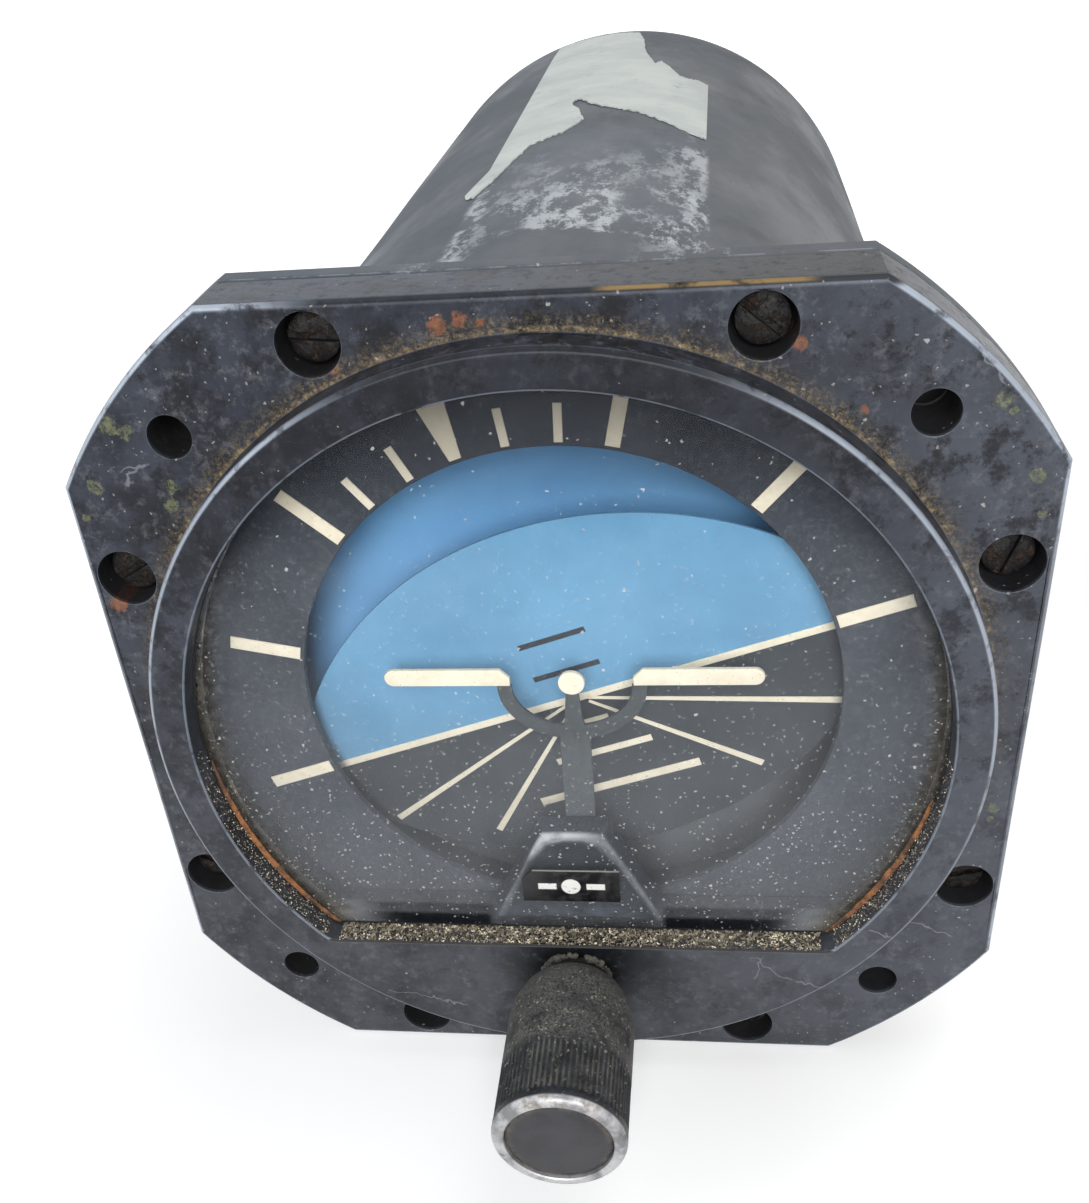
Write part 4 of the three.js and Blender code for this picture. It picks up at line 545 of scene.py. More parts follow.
def glass():
    look = Look("window_glass", 0.08, 0.2)
    haze = look.noise(0.09, 5, 0.6).step(0.35, 0.7)
    radius = look.radius
    rim = radius.step(32.5, 35.6) * look.z.step(22, 6, 0.1, 1)
    low = look.z.step(-18.5, -24.2)
    edge = rim | low * 0.28
    film = look.noise(1.4, 5, 0.75, shift=12)
    height = look.z
    dust = look.most((
        look.specks(0.5, 0.13, 0.35) * 0.9,
        look.specks(1.1, 0.2, 0.35, shift=5) * 0.8,
        look.specks(2.2, 0.38, 0.5, shift=15) * height.step(10, -16, 0.3, 0.8),
        look.specks(2.6, 0.36, 0.4, shift=25) * edge.step(0.1, 0.9),
    ))
    hair = look.noise(0.6, 5, 0.9, shift=23, warp=2.5).step(0.735, 0.76)
    # Painted shade: a dark film over the top of the glass darkens what lies behind it.
    shade = height.step(21.5, 34)
    # A pale veil over the lower half lightens what lies behind, thinner in front of the hood
    near_hood = abs(look.x).step(12, 7) * height.step(-9, -14)
    veil = (height.step(9, -5) + height.step(-5, -18)) * near_hood.between(1, 0.3)
    # Painted shadow: a dark band near the bottom of the glass stands for the sill's shadow on the dial behind.
    painted_sill_shadow = height.step(-22.1, -23.1) * abs(look.x).step(8, 9.6)
    alpha = haze * 0.02 + 0.02 + shade * 0.28 + veil * 0.032 + edge * film.step(0.4, 0.7) * 0.22 + painted_sill_shadow * 0.2
    alpha = alpha | dust * 0.6 | hair * 0.4
    # The film is pale below and dark at the top, where it is painted shade.
    look.base(height.step(17, 23), (190, 194, 200), (16, 21, 30))
    look.coat(edge.step(0.2, 0.9), 140, 132, 118)
    look.coat(painted_sill_shadow * radius.step(34, 31), 15, 16, 19)
    look.coat(dust, 220, 218, 212)
    return look.set((dust | edge).between(0.06, 0.8), alpha=alpha)


def sealant():
    look = Look("old_sealant", 0.6)
    cloud = look.noise(0.5, 6, 0.7).step(0.38, 0.62)
    look.base(cloud, (70, 50, 38), (156, 103, 62))
    look.coat(look.noise(1.6, 5, 0.7, shift=5).step(0.52, 0.66) * 0.7, 46, 40, 36)
    look.bump(look.noise(2, 5, 0.7), 0.8, 0.15)
    return look.set(cloud.between(0.5, 0.85))


def grit():
    look = Look("window_grit", 0.9)
    cells = look.node("TexVoronoi", {"Vector": look.place, "Scale": 3.4}, "Color")
    tone, kind, gloss = look.split(cells, "SeparateColor")
    look.base(tone.step(0.1, 0.9), (100, 94, 82), (168, 158, 138))
    look.coat(look.math("GREATER_THAN", kind, 0.88), 236, 226, 202)
    look.coat(look.math("LESS_THAN", kind, 0.2), 70, 62, 54)
    return look.set(gloss.between(0.8, 1))


def tape():
    look = Look("printed_tape", 0.4)
    x = look.x
    z = look.z
    cloud = look.noise(0.9, 5, 0.7).step(0.4, 0.7)
    look.base(cloud, (13, 13, 15), (34, 34, 37))

    def bar(left, right, middle, half):
        across = abs(z - middle)
        inside = x.step(left, left + 0.12) * x.step(right + 0.12, right)
        return inside * across.step(half + 0.1, half)

    dot = look.reach(-0.25, -18.55).step(1.05, 0.93)
    sign = bar(-3.7, -1.8, -18.55, 0.34) | bar(1.3, 3.2, -18.55, 0.34) | dot
    worn = look.noise(2.6, 4, 0.7, shift=4).step(0.3, 0.42)
    look.coat(sign * worn, 226, 226, 222)
    rim = z.step(-16.55, -16.44)
    look.coat(rim * 0.6, 168, 166, 160)
    look.coat(look.specks(1.2, 0.16, 0.3) * 0.8, 190, 186, 176)
    look.bump(look.noise(0.8, 4, 0.6) + sign * 0.6, 0.3, 0.06)
    return look.set(cloud.between(0.3, 0.55))


def hood_paint():
    look = Look("hood_paint", 0.42, 0.3)
    z = look.z
    depth = look.y
    cloud = look.noise(0.3, 5, 0.6).step(0.35, 0.65)
    low = z.step(-17, -25.5)
    look.base(cloud, (38, 44, 50), (50, 56, 64))
    look.coat(low * 0.25, 54, 60, 68)
    # How far the raised arch stands out of the cover's sloped front, from 0 to 1
    slope = z * 0.0164 + 2.937
    rise = (slope - depth) * (1 / ARCH_RISE)
    # Painted highlight on the arch's crest, widest at its upper left.
    upper_left = z.step(-18.6, -15.4) * look.x.step(5, -1.5)
    painted_arch_highlight = rise.step(0.3, 0.95) * 0.3 | rise.step(0.08, 0.75) * upper_left
    patchy = look.noise(0.7, 4, 0.6, shift=14).step(0.3, 0.55, 0.6, 1)
    look.coat(painted_arch_highlight * patchy, 190, 194, 198)
    # Painted highlight in patches along the hood's foot.
    foot = z.step(-23.6, -24.6) * look.noise(0.4, 3, 0.5, shift=3).step(0.35, 0.6)
    look.coat(foot * 0.3, 96, 108, 124)
    look.coat(look.specks(0.9, 0.14, 0.3) * 0.6, 180, 180, 178)
    look.bump(look.noise(1, 4, 0.6), 0.2, 0.05)
    return look.set(cloud.between(0.34, 0.5))


def matte(name, dark, light, speck=(176, 176, 172), amount=0.35, roughness=0.7, scale=0.12):
    look = Look(name, roughness, 0.15)
    cloud = look.noise(scale, 6, 0.6).step(0.3, 0.7)
    look.base(cloud, dark, light)
    fine = look.noise(1.8, 4, 0.7, shift=9).step(0.45, 0.8)
    look.coat(fine * 0.12, speck)
    look.coat(look.specks(0.7, 0.13, 0.3) * amount, speck)
    look.bump(look.noise(2.5, 4, 0.7), 0.15, 0.03)
    return look.set(fine.between(roughness * 0.9, min(1, roughness * 1.2)))


def knob_black():
    look = Look("knob_black", 0.6, 0.35)
    depth = look.y
    base = look.noise(0.8, 5, 0.7).step(0.35, 0.7)
    look.base(base, (26, 27, 30), (56, 57, 60))
    flat = look.reach(0, -KNOB_DROP)
    dome = depth.step(-13.5, -8.5)
    knurl = depth.band(-22.8, -22.4, -16.9, -16.4)
    groove = flat.step(6.33, 6.2) * knurl
    powder = look.noise(4, 5, 0.85, shift=7).step(0.43, 0.57)
    patch = look.noise(0.35, 4, 0.6, shift=17).step(0.36, 0.62)
    behind = depth.step(-17.4, -15.5)
    dust = powder * (dome * 0.8 | behind * patch * 0.65) | groove * patch.between(0.1, 0.5)
    look.coat(dust * 0.9, 132, 129, 121)
    coarse, fine = look.specks(1.6, 0.3, 0.3, shift=3), look.specks(3, 0.55, 0.6)
    specks = coarse * 0.9 | fine * depth.step(-21.5, -13, 0.4, 1)
    look.coat(specks * 0.7, 168, 160, 142)
    rim = depth.step(-23.3, -23.6) * flat.step(5.08, 5.2)
    scuff = look.noise(0.5, 4, 0.6, shift=29).step(0.22, 0.42)
    bare = rim * scuff
    steel = look.blend(look.noise(0.5, 4, 0.6, shift=2).step(0.35, 0.65), (128, 128, 130), (188, 188, 190))
    look.coat(bare, steel)
    top = look.z.step(-25.2, -23.4)
    stain = rim * top * look.noise(1.1, 5, 0.7, shift=4).step(0.45, 0.6)
    look.coat(stain * 0.7, 124, 110, 92)
    look.bump(look.noise(2.2, 5, 0.75) * bare.between(1, 0.15) + dust, 0.5, 0.1)
    return look.set(dust.between(0.45, 0.9), bare * 0.55)


def knob_face_paint():
    look = Look("knob_face_paint", 0.38, 0.2)
    cloud = look.noise(0.35, 5, 0.6).step(0.35, 0.65)
    look.base(cloud, (54, 54, 57), (64, 64, 67))
    flat = look.reach(0, -KNOB_DROP)
    edge = flat.step(4.2, 5.1) * look.noise(0.9, 4, 0.7, shift=8).step(0.4, 0.6)
    look.coat(edge * 0.5, 116, 104, 88)
    look.coat(look.specks(1, 0.12, 0.3) * 0.6, 170, 168, 162)
    look.bump(look.noise(1.4, 4, 0.6), 0.15, 0.04)
    return look.set(cloud.between(0.32, 0.46))


def banked_paint(name, scale, border, ground, sky, speck):
    """Sky above the horizon line and ground below it, each mottled between two colours."""
    look = Look(name, 0.75, 0.15)
    above = look.banked_height().step(*border)
    cloud = look.noise(scale, 5, 0.6).step(0.3, 0.7)
    look.base(above, look.blend(cloud, *ground), look.blend(cloud, *sky))
    look.coat(look.specks(0.6, 0.12, 0.3) * 0.4, *speck)
    look.bump(look.noise(2.5, 4, 0.7), 0.12, 0.03)
    return look.set(cloud.between(0.7, 0.85))


def cream():
    return matte("cream_paint", (238, 228, 204), (252, 244, 222), speck=(150, 138, 116), amount=0.3, roughness=0.65,
                 scale=0.3)


def felt():
    look = Look("filter_felt", 0.95)
    fibres = look.noise(2.5, 6, 0.8).step(0.35, 0.65)
    look.base(fibres, (120, 114, 100), (170, 164, 146))
    look.bump(fibres, 0.8, 0.2)
    return look.set(fibres.between(0.9, 1))


def arc(x, z, radius, first, last, steps):
    angles = [first + (last - first) * i / steps for i in range(steps + 1)]
    return [(x + radius * math.cos(angle), z + radius * math.sin(angle)) for angle in angles]


def circle(radius, steps, x=0, z=0):
    return arc(x, z, radius, 0, 2 * math.pi, steps)[:-1]


def offset(loop, out):
    """A loop moved outwards by a distance, where its points go left round it."""
    moved = []
    for i, (bx, bz) in enumerate(loop):
        (ax, az), (cx, cz) = loop[i - 1], loop[(i + 1) % len(loop)]
        first = Vector((bz - az, ax - bx)).normalized()
        last = Vector((cz - bz, bx - cx)).normalized()
        middle = (first + last).normalized()
        reach = out / max(0.35, middle.dot(first))
        moved.append((bx + middle.x * reach, bz + middle.y * reach))
    return moved


def flange_outline(inset=0):
    half = FLANGE_HALF - inset
    radius = math.hypot(half, FLANGE_STRAIGHT)
    start = math.atan2(FLANGE_STRAIGHT, half)
    quarter = math.pi / 2
    points = []
    for corner in range(4):
        points += arc(0, 0, radius, corner * quarter + start, (corner + 1) * quarter - start, 40)
    return points


def window_outline(radius, drop, notch=None):
    """A circle with a level lower side and rounded corners. The notch is where the knob's pocket joins it."""
    rise = drop - WINDOW_CORNER
    side = math.sqrt((radius - WINDOW_CORNER) ** 2 - rise ** 2)
    dip = math.atan2(rise, side)
    points = arc(0, 0, radius, -dip, math.pi + dip, 180)
    points += arc(-side, -rise, WINDOW_CORNER, math.pi + dip, 1.5 * math.pi, 6)[1:]
    if notch:
        points += [(-notch, -drop), (notch, -drop)]
    points += arc(side, -rise, WINDOW_CORNER, -math.pi / 2, -dip, 6)[:-1]
    return points


def turned(points, angle):
    """Points turned about the roll axis, from +Z towards +X."""
    c, s = math.cos(angle), math.sin(angle)
    return [(x * c + z * s, z * c - x * s) for x, z in points]


def bar(start, end, first, last=None):
    """A straight bar from start to end, as wide as first there and as last at its end."""
    last = last or first
    along = math.atan2(end[1] - start[1], end[0] - start[0])
    sx, sz = -math.sin(along) / 2, math.cos(along) / 2
    return [(x + sx * width, z + sz * width)
            for (x, z), width in ((start, -first), (end, -last), (end, last), (start, first))]


def rounding(radius, steps):
    """How far in and how deep each ring of a rounded edge lies, from the face to the side."""
    angles = [math.pi / 2 * i / steps for i in range(steps + 1)]
    return [(radius * (1 - math.sin(angle)), radius * (1 - math.cos(angle))) for angle in angles]


def softened(profile, radius, steps=3):
    """A closed profile with its corners rounded, each by at most a third of its shorter side."""
    points = []
    for i, corner in enumerate(profile):
        here = Vector(corner)
        before = Vector(profile[i - 1]) - here
        after = Vector(profile[(i + 1) % len(profile)]) - here
        reach = min(radius, before.length / 3, after.length / 3)
        start = here + before.normalized() * reach
        end = here + after.normalized() * reach
        for step in range(steps + 1):
            t = step / steps
            points.append(tuple(start.lerp(here, t).lerp(here.lerp(end, t), t)))
    return points


def place_object(name, data):
    thing = bpy.data.objects.new(name, data)
    bpy.context.scene.collection.objects.link(thing)
    return thing


class Shape:
    """A mesh of rings: loops of (x, z) points at a depth y, in millimetres."""

    def __init__(self):
        self.points = []
        self.faces = []

    def point(self, x, y, z):
        self.points.append((x, y, z))
        return len(self.points) - 1

    def ring(self, loop, y):
        return [self.point(x, y, z) for x, z in loop]

    def rounded(self, loop, y, radius, steps=3, out=-1, rear=False):
        """The rings of a rounded edge: from the face at y to the side, or from the side to a rear face at y."""
        if not radius:
            return [self.ring(loop, y)]
        rings = rounding(radius, steps)
        if rear:
            return [self.ring(offset(loop, out * inset), y - deep) for inset, deep in reversed(rings)]
        return [self.ring(offset(loop, out * inset), y + deep) for inset, deep in rings]

    def skin(self, a, b):
        """Faces between two rings. A ring may be one point, repeated."""
        for i in range(len(a)):
            j = (i + 1) % len(a)
            self.faces.append(tuple(dict.fromkeys((a[i], a[j], b[j], b[i]))))

    def chain(self, rings):
        for a, b in zip(rings, rings[1:]):
            self.skin(a, b)

    def cap(self, *rings):
        loops = [[Vector((self.points[i][0], self.points[i][2], 0)) for i in ring] for ring in rings]
        flat = [i for ring in rings for i in ring]
        self.faces += [tuple(flat[i] for i in corners) for corners in tessellate_polygon(loops)]

    def plate(self, outline, front, back, edge, holes=(), rear_edge=0):
        """A plate with holes; its front edges, and its rear edges if asked, are rounded."""
        walls = []
        for out, loop in ((-1, outline), *((1, hole) for hole in holes)):
            rings = self.rounded(loop, front, edge, out=out) + self.rounded(loop, back, rear_edge, out=out, rear=True)
            self.chain(rings)
            walls.append(rings)
        self.cap(*(rings[0] for rings in walls))
        self.cap(*(rings[-1] for rings in walls))

    def lathe(self, profile, segments, z=0, closed=True):
        """A profile of (radius, y) points turned about the line along Y at height z."""
        rings = [self.ring(circle(radius, segments, 0, z), y) if radius else [self.point(0, y, z)] * segments
                 for radius, y in profile]
        self.chain(rings + rings[:1] if closed else rings)

    def drill(self, places, radius, front, back, segments=48, edge=0):
        """The walls of round holes, each as its rings."""
        walls = []
        for x, z in places:
            wall = circle(radius, segments, x, z)
            rings = self.rounded(wall, front, edge, 2, out=1) + [self.ring(wall, back)]
            self.chain(rings)
            walls.append(rings)
        return walls

    def move(self, change):
        self.points = [tuple(change(Vector(p))) for p in self.points]

    def make(self, name, material, replaced=None, body="case_body", sharp=32, weighted=False):
        mesh = bpy.data.meshes.new(name)
        mesh.from_pydata([(x * MM, y * MM, z * MM) for x, y, z in self.points], [], self.faces)
        build = bmesh.new()
        build.from_mesh(mesh)
        bmesh.ops.remove_doubles(build, verts=build.verts, dist=1e-7)
        bmesh.ops.dissolve_degenerate(build, edges=build.edges, dist=1e-8)
        bmesh.ops.recalc_face_normals(build, faces=build.faces)
        build.to_mesh(mesh)
        build.free()
        mesh.shade_smooth()
        mesh.set_sharp_from_angle(angle=sharp * DEG)
        mesh.materials.append(material)
        thing = place_object(name, mesh)
        if weighted:
            even = thing.modifiers.new("even_normals", "WEIGHTED_NORMAL")
            even.keep_sharp = True
            even.weight = 60
        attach(thing, body)
        if replaced:
            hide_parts(replaced)


def make_bezel(material):
    shape = Shape()
    outline = flange_outline()
    chamfer = 0.15
    outer = shape.rounded(outline, 0, 0.65, 4)
    outer += [shape.ring(outline, BEZEL_BACK - chamfer), shape.ring(offset(outline, -chamfer), BEZEL_BACK)]
    shape.chain(outer)
    foot = circle(RING_RADIUS, 256)
    ring = [shape.ring(offset(foot, 0.35), 0), shape.ring(offset(foot, 0.08), -0.1), shape.ring(foot, -0.4)]
    ring += shape.rounded(foot, RING_FRONT, 0.65, 5)[::-1]
    shape.chain(ring)
    window = window_outline(WINDOW_RADIUS, WINDOW_DROP)
    opening = shape.rounded(window, RING_FRONT, 0.3, out=1) + [shape.ring(window, LIP_BACK)]
    shape.chain(opening)
    bore = circle(BUSHING_RADIUS + 0.05, 48, 0, -KNOB_DROP)
    bore_front, bore_back = shape.ring(bore, RING_FRONT), shape.ring(bore, POCKET_FRONT)
    shape.skin(bore_front, bore_back)
    shape.cap(ring[-1], opening[0], bore_front)

    # Behind the lip lie the recess for the glass and, from the pocket's front on, the wider pocket for the knob's gear
    recess = window_outline(RECESS_RADIUS, RECESS_DROP, notch=POCKET_HALF)
    recess_front, recess_middle = shape.ring(recess, LIP_BACK), shape.ring(recess, POCKET_FRONT)
    shape.cap(recess_front, opening[-1])
    shape.skin(recess_front, recess_middle)
    after = recess.index((-POCKET_HALF, -RECESS_DROP)) + 1
    pocket = [(-POCKET_HALF, -POCKET_FLOOR), (POCKET_HALF, -POCKET_FLOOR)]
    corners = shape.ring(pocket, POCKET_FRONT)
    wide_back = shape.ring(recess[:after] + pocket + recess[after:], BEZEL_BACK)
    shape.skin(recess_middle[:after] + corners + recess_middle[after:], wide_back)
    shape.cap([recess_middle[after - 1], *corners, recess_middle[after]], bore_back)

    drilled = shape.drill(SCREW_PLACES, SCREW_RECESS, 0, SCREW_RECESS_DEPTH, edge=0.18)
    for rings, (x, z) in zip(drilled, SCREW_PLACES):
        bore = circle(SCREW_BORE, 48, x, z)
        rings += [shape.ring(bore, SCREW_RECESS_DEPTH), shape.ring(bore, BEZEL_BACK)]
        shape.chain(rings[-3:])
    drilled += shape.drill(HOLE_PLACES, HOLE_RADIUS, 0, BEZEL_BACK, edge=0.15)
    shape.cap(outer[0], ring[0], *(rings[0] for rings in drilled))
    shape.cap(outer[-1], wide_back, *(rings[-1] for rings in drilled))
    shape.make("bezel_casting", material, "bezel", weighted=True)


def make_gasket(material):
    shape = Shape()
    holes = [circle(GASKET_OPENING, 160)] + [circle(SCREW_BORE, 24, x, z) for x, z in SCREW_PLACES]
    holes += [circle(HOLE_RADIUS, 32, x, z) for x, z in HOLE_PLACES]
    shape.plate(flange_outline(0.2), GASKET_FRONT, GASKET_BACK, 0.1, holes, 0.1)
    shape.make("flange_gasket", material, "bezel_gasket")


def make_screw(name, node, material, shank, place):
    """A slotted screw. Before it is placed it points along +Y, with the middle of its head's front at the origin."""
    shape = Shape()
    reach = math.acos(SLOT_HALF / HEAD_RADIUS)
    for side in (1, -1):
        half = [(side * x, z) for x, z in arc(0, 0, HEAD_RADIUS, -reach, reach, 24)][::side]
        wall = side * SLOT_HALF
        rings = [shape.ring([(wall + (x - wall) * share, z * share) for x, z in half], y)
                 for share, y in ((0.55, 0), (0.8, 0.07), (0.93, 0.2), (1, 0.45), (1, SLOT_DEPTH + 0.05))]
        shape.chain(rings)
        shape.cap(rings[0])
        shape.cap(rings[-1])
    chamfer, overlap, end = 0.1, 0.05, HEAD_HEIGHT + SCREW_GRIP
    shape.lathe([(0, SLOT_DEPTH), (HEAD_RADIUS, SLOT_DEPTH), (HEAD_RADIUS, HEAD_HEIGHT - chamfer),
                 (HEAD_RADIUS - chamfer, HEAD_HEIGHT), (0, HEAD_HEIGHT)], 48, closed=False)
    shape.lathe([(0, HEAD_HEIGHT - overlap), (shank, HEAD_HEIGHT - overlap), (shank, end), (0, end)], 24, closed=False)
    shape.move(lambda p: place @ p)
    shape.make(name, material, node)


def make_screws(material):
    for index, ((x, z), turn) in enumerate(zip(SCREW_PLACES, BEZEL_SCREW_TURNS), 1):
        place = Matrix.Translation((x, SCREW_SEAT, z)) @ Matrix.Rotation((turn + 90) * DEG, 4, "Y")
        make_screw(f"flange_screw_{index}", f"bezel_screw_{index}", material, 1.35, place)
    for index, turn in enumerate(REAR_SCREW_TURNS, 1):
        angle = math.pi / 2 * (index - 0.5)
        x, z = REAR_SCREW_REACH * math.cos(angle), REAR_SCREW_REACH * math.sin(angle)
        seat = (x, REAR_BACK + 0.05 + HEAD_HEIGHT, z)
        place = Matrix.Translation(seat) @ Matrix.Rotation(math.pi, 4, "X") @ Matrix.Rotation(turn * DEG, 4, "Y")
        make_screw(f"hub_screw_{index}", f"rear_screw_{index}", material, 1.25, place)


def make_glass(material):
    shape = Shape()
    shape.plate(window_outline(GLASS_RADIUS, GLASS_DROP), GLASS_FRONT, GLASS_BACK, 0.15, (), 0.15)
    shape.make("window_pane", material, "window_glass")


def make_bead(name, first, last, material):
    """An uneven line of old sealant in the corner between the glass and the window's wall."""
    shape = Shape()
    steps, sides = 90, 10
    rings = []
    for i in range(steps + 1):
        share = i / steps
        angle = (first + (last - first) * share) * DEG
        thick = 0.43 + 0.15 * field.noise(Vector((angle * 9, 3.1, 0)))
        thick *= math.sin(math.pi * (share * 0.96 + 0.02)) ** 0.4
        ring = []
        for k in range(sides):
            turn = 2 * math.pi * k / sides
            uneven = 1 + 0.25 * field.noise(Vector((angle * 25, turn, 7)))
            reach = WINDOW_RADIUS - 0.15 + math.cos(turn) * thick * uneven
            deep = -0.32 + math.sin(turn) * thick * 0.6
            ring.append(shape.point(reach * math.sin(angle), min(deep, GLASS_FRONT - 0.06), reach * math.cos(angle)))
        rings.append(ring)
    shape.chain(rings)
    shape.faces += [tuple(rings[0]), tuple(rings[-1])]
    shape.make(name, material, sharp=80)


def make_grit(material):
    """Grains of sand and dust on the level sill below the glass and along the window's lower sides."""
    draw = random.Random(11)
    shape = Shape()
    tips = [Vector(v) for v in ((1, 0, 0), (-1, 0, 0), (0, 1, 0), (0, -1, 0), (0, 0, 1), (0, 0, -1))]
    sides = [(0, 2, 4), (2, 1, 4), (1, 3, 4), (3, 0, 4), (2, 0, 5), (1, 2, 5), (3, 1, 5), (0, 3, 5)]

    def grain(x, y, z, size):
        angle = draw.uniform(0, 6.28)
        axle = Vector((draw.gauss(0, 1), draw.gauss(0, 1), draw.gauss(0, 1))).normalized()
        turn = Matrix.Rotation(angle, 3, axle)
        corners = [shape.point(*(Vector((x, y, z)) + turn @ (tip * size * draw.uniform(0.7, 1.15)))) for tip in tips]
        shape.faces.extend(tuple(corners[k] for k in side) for side in sides)

    half = math.sqrt(WINDOW_RADIUS ** 2 - WINDOW_DROP ** 2) - 0.9
    for _ in range(8200):
        x = draw.uniform(-half, half)
        y = RING_FRONT + 0.15 + draw.random() ** 0.8 * 2.5
        size = draw.uniform(0.06, 0.12)
        grain(x, min(y, GLASS_FRONT - size - 0.02), -WINDOW_DROP + draw.random() * 0.16 + size * 0.4, size)
    for _ in range(1500):
        side = draw.choice((-1, 1))
        angle = (90 + 42 * draw.random() ** 0.6) * DEG * side
        size = draw.uniform(0.05, 0.11)
        reach = WINDOW_RADIUS - size * 0.5
        y = draw.uniform(RING_FRONT + 0.2, GLASS_FRONT - 0.3)
        grain(reach * math.sin(angle), y, reach * math.cos(angle), size)
    shape.make("window_grit", material, sharp=20)


def make_tape(material):
    shape = Shape()
    back = GLASS_FRONT - 0.05
    outline = [(-5.3, -20.61), (4.8, -20.61), (4.8, -16.41), (-4.1, -16.41), (-5.3, -17.61)]
    shape.plate(outline, back - 0.15, back, 0.04)
    shape.make("sign_tape", material, "legend_tape")


def make_hood(material):
    """A sloped cover with a soft raised arch, drawn as a height over its trapezoid."""
    shape = Shape()
    rows, columns = 60, 80

    def from_arch(x, z):
        distances = []
        for start, end in zip(HOOD_ARCH, HOOD_ARCH[1:]):
            along = Vector(end) - Vector(start)
            away = Vector((x, z)) - Vector(start)
            t = max(0, min(1, away.dot(along) / along.length_squared))
            distances.append((away - along * t).length)
        return min(distances)

    grid = []
    for row in range(rows + 1):
        z = HOOD_FOOT + (HOOD_TOP - HOOD_FOOT) * row / rows
        half = 3.5 + (HOOD_TOP - z) * 0.5
        line = []
        for column in range(columns + 1):
            share = 2 * column / columns - 1
            edge = min(half * (1 - abs(share)), HOOD_TOP - z + 0.001)
            rise = ARCH_RISE * math.exp(-(from_arch(half * share, z) / 0.95) ** 2)
            lift = 1.15 + 0.2 * (HOOD_TOP - z) / (HOOD_TOP - HOOD_FOOT) + rise
            lift *= min(1, edge / 0.8 + 0.12) ** 0.6
            line.append(shape.point(half * share, max(HOOD_FRONT, HOOD_BACK - 0.6 - lift), z))
        grid.append(line)
    for low, high in zip(grid, grid[1:]):
        shape.faces += [(low[k], low[k + 1], high[k + 1], high[k]) for k in range(columns)]
    rim = grid[0] + [line[-1] for line in grid[1:-1]] + grid[-1][::-1] + [line[0] for line in grid[-2:0:-1]]
    rear = shape.ring([shape.points[i][::2] for i in rim], HOOD_BACK)
    shape.skin(rim, rear)
    shape.cap(rear)
    shape.make("moulded_hood", material, "symbol_hood", sharp=50)


def make_case(material):
    shape = Shape()
    outline = flange_outline()
    outer = shape.rounded(outline, CASE_FRONT, 0.2, 2) + shape.rounded(outline, CASE_FLANGE_BACK, 0.35, rear=True)
    shape.chain(outer)
    tube = circle(CASE_RADIUS, 192)
    foot, end_edge = CASE_FLANGE_BACK + 0.45, 1.8
    walls = [shape.ring(offset(tube, 0.4), CASE_FLANGE_BACK), shape.ring(offset(tube, 0.1), CASE_FLANGE_BACK + 0.12),
             shape.ring(tube, foot)]
    # Faint ripples of a spun and handled shell
    ripples = 30
    for step in range(1, ripples):
        y = foot + (CASE_END - end_edge - foot) * step / ripples
        dents = [0.12 * field.noise(Vector((x * 0.06, y * 0.03, z * 0.06))) + 0.03 for x, z in tube]
        shares = [1 - max(0, dent) / CASE_RADIUS for dent in dents]
        walls.append(shape.ring([(x * share, z * share) for (x, z), share in zip(tube, shares)], y))
    walls += shape.rounded(tube, CASE_END, end_edge, 6, rear=True)
    shape.chain(walls)
    hub, bore = circle(HUB_HOLE, 96), circle(CASE_INNER, 128)
    hub_back, hub_front = shape.ring(hub, CASE_END), shape.ring(hub, CASE_END - CASE_WALL)
    shape.skin(hub_back, hub_front)
    shape.cap(walls[-1], hub_back)
    inner_back, inner_front = shape.ring(bore, CASE_END - CASE_WALL), shape.ring(bore, CASE_FRONT)
    shape.cap(inner_back, hub_front)
    shape.skin(inner_back, inner_front)
    drilled = shape.drill(SCREW_PLACES, CASE_SCREW_HOLE, CASE_FRONT, CASE_FLANGE_BACK, 32)
    drilled += shape.drill(HOLE_PLACES, HOLE_RADIUS, CASE_FRONT, CASE_FLANGE_BACK, 32)
    shape.cap(outer[0], inner_front, *(rings[0] for rings in drilled))
    shape.cap(outer[-1], walls[0], *(rings[-1] for rings in drilled))
    shape.make("spun_case", material, "case", weighted=True)


def make_label(material):
    """What is left of a blank paper label, torn along its lower side, laid on the case."""
    def ragged(points, steps=9):
        line = []
        for (a, b), (c, d) in zip(points, points[1:]):
            for k in range(steps):
                x, y = a + (c - a) * k / steps, b + (d - b) * k / steps
                line.append((x + 0.2625 * field.noise(Vector((x * 2.1, y * 0.9, 1))),
                             y + 1.2 * field.noise(Vector((x * 1.7, y * 0.8, 5)))))
        return line

    border = ragged(LABEL_LOWER) + ragged(LABEL_UPPER)
    border += [(-17.1 + t * 0.14, 153 - t * 10.6) for t in range(1, 10)]
    edges = [(i, (i + 1) % len(border)) for i in range(len(border))]

    def inside(angle, y):
        crossed = 0
        for i, j in edges:
            (ax, ay), (bx, by) = border[i], border[j]
            crossed += (ay > y) != (by > y) and angle < (bx - ax) * (y - ay) / (by - ay) + ax
        return crossed % 2 == 1 and all(math.hypot(angle - bx, (y - by) / 1.4) > 0.9 for bx, by in border)

    grid = [(-17 + 1.5 * i, y) for i in range(25) for y in range(46, 153, 3)]
    flat = [Vector(place) for place in border + [place for place in grid if inside(*place)]]
    verts, _, faces, *_ = delaunay_2d_cdt(flat, edges, [list(range(len(border)))], 1, 1e-6)
    shape = Shape()
    for lift in (0.18, 0.02):
        reach = CASE_RADIUS + lift
        for v in verts:
            shape.point(reach * math.sin(v.x * DEG), v.y, reach * math.cos(v.x * DEG))
    count = len(verts)
    sides = {(face[k - 1], face[k]) for face in faces for k in range(len(face))}
    for face in faces:
        shape.faces += [tuple(face), tuple(i + count for i in reversed(face))]
    shape.faces += [(a, b, b + count, a + count) for a, b in sorted(sides) if (b, a) not in sides]
    shape.make("blank_label", material, sharp=50)


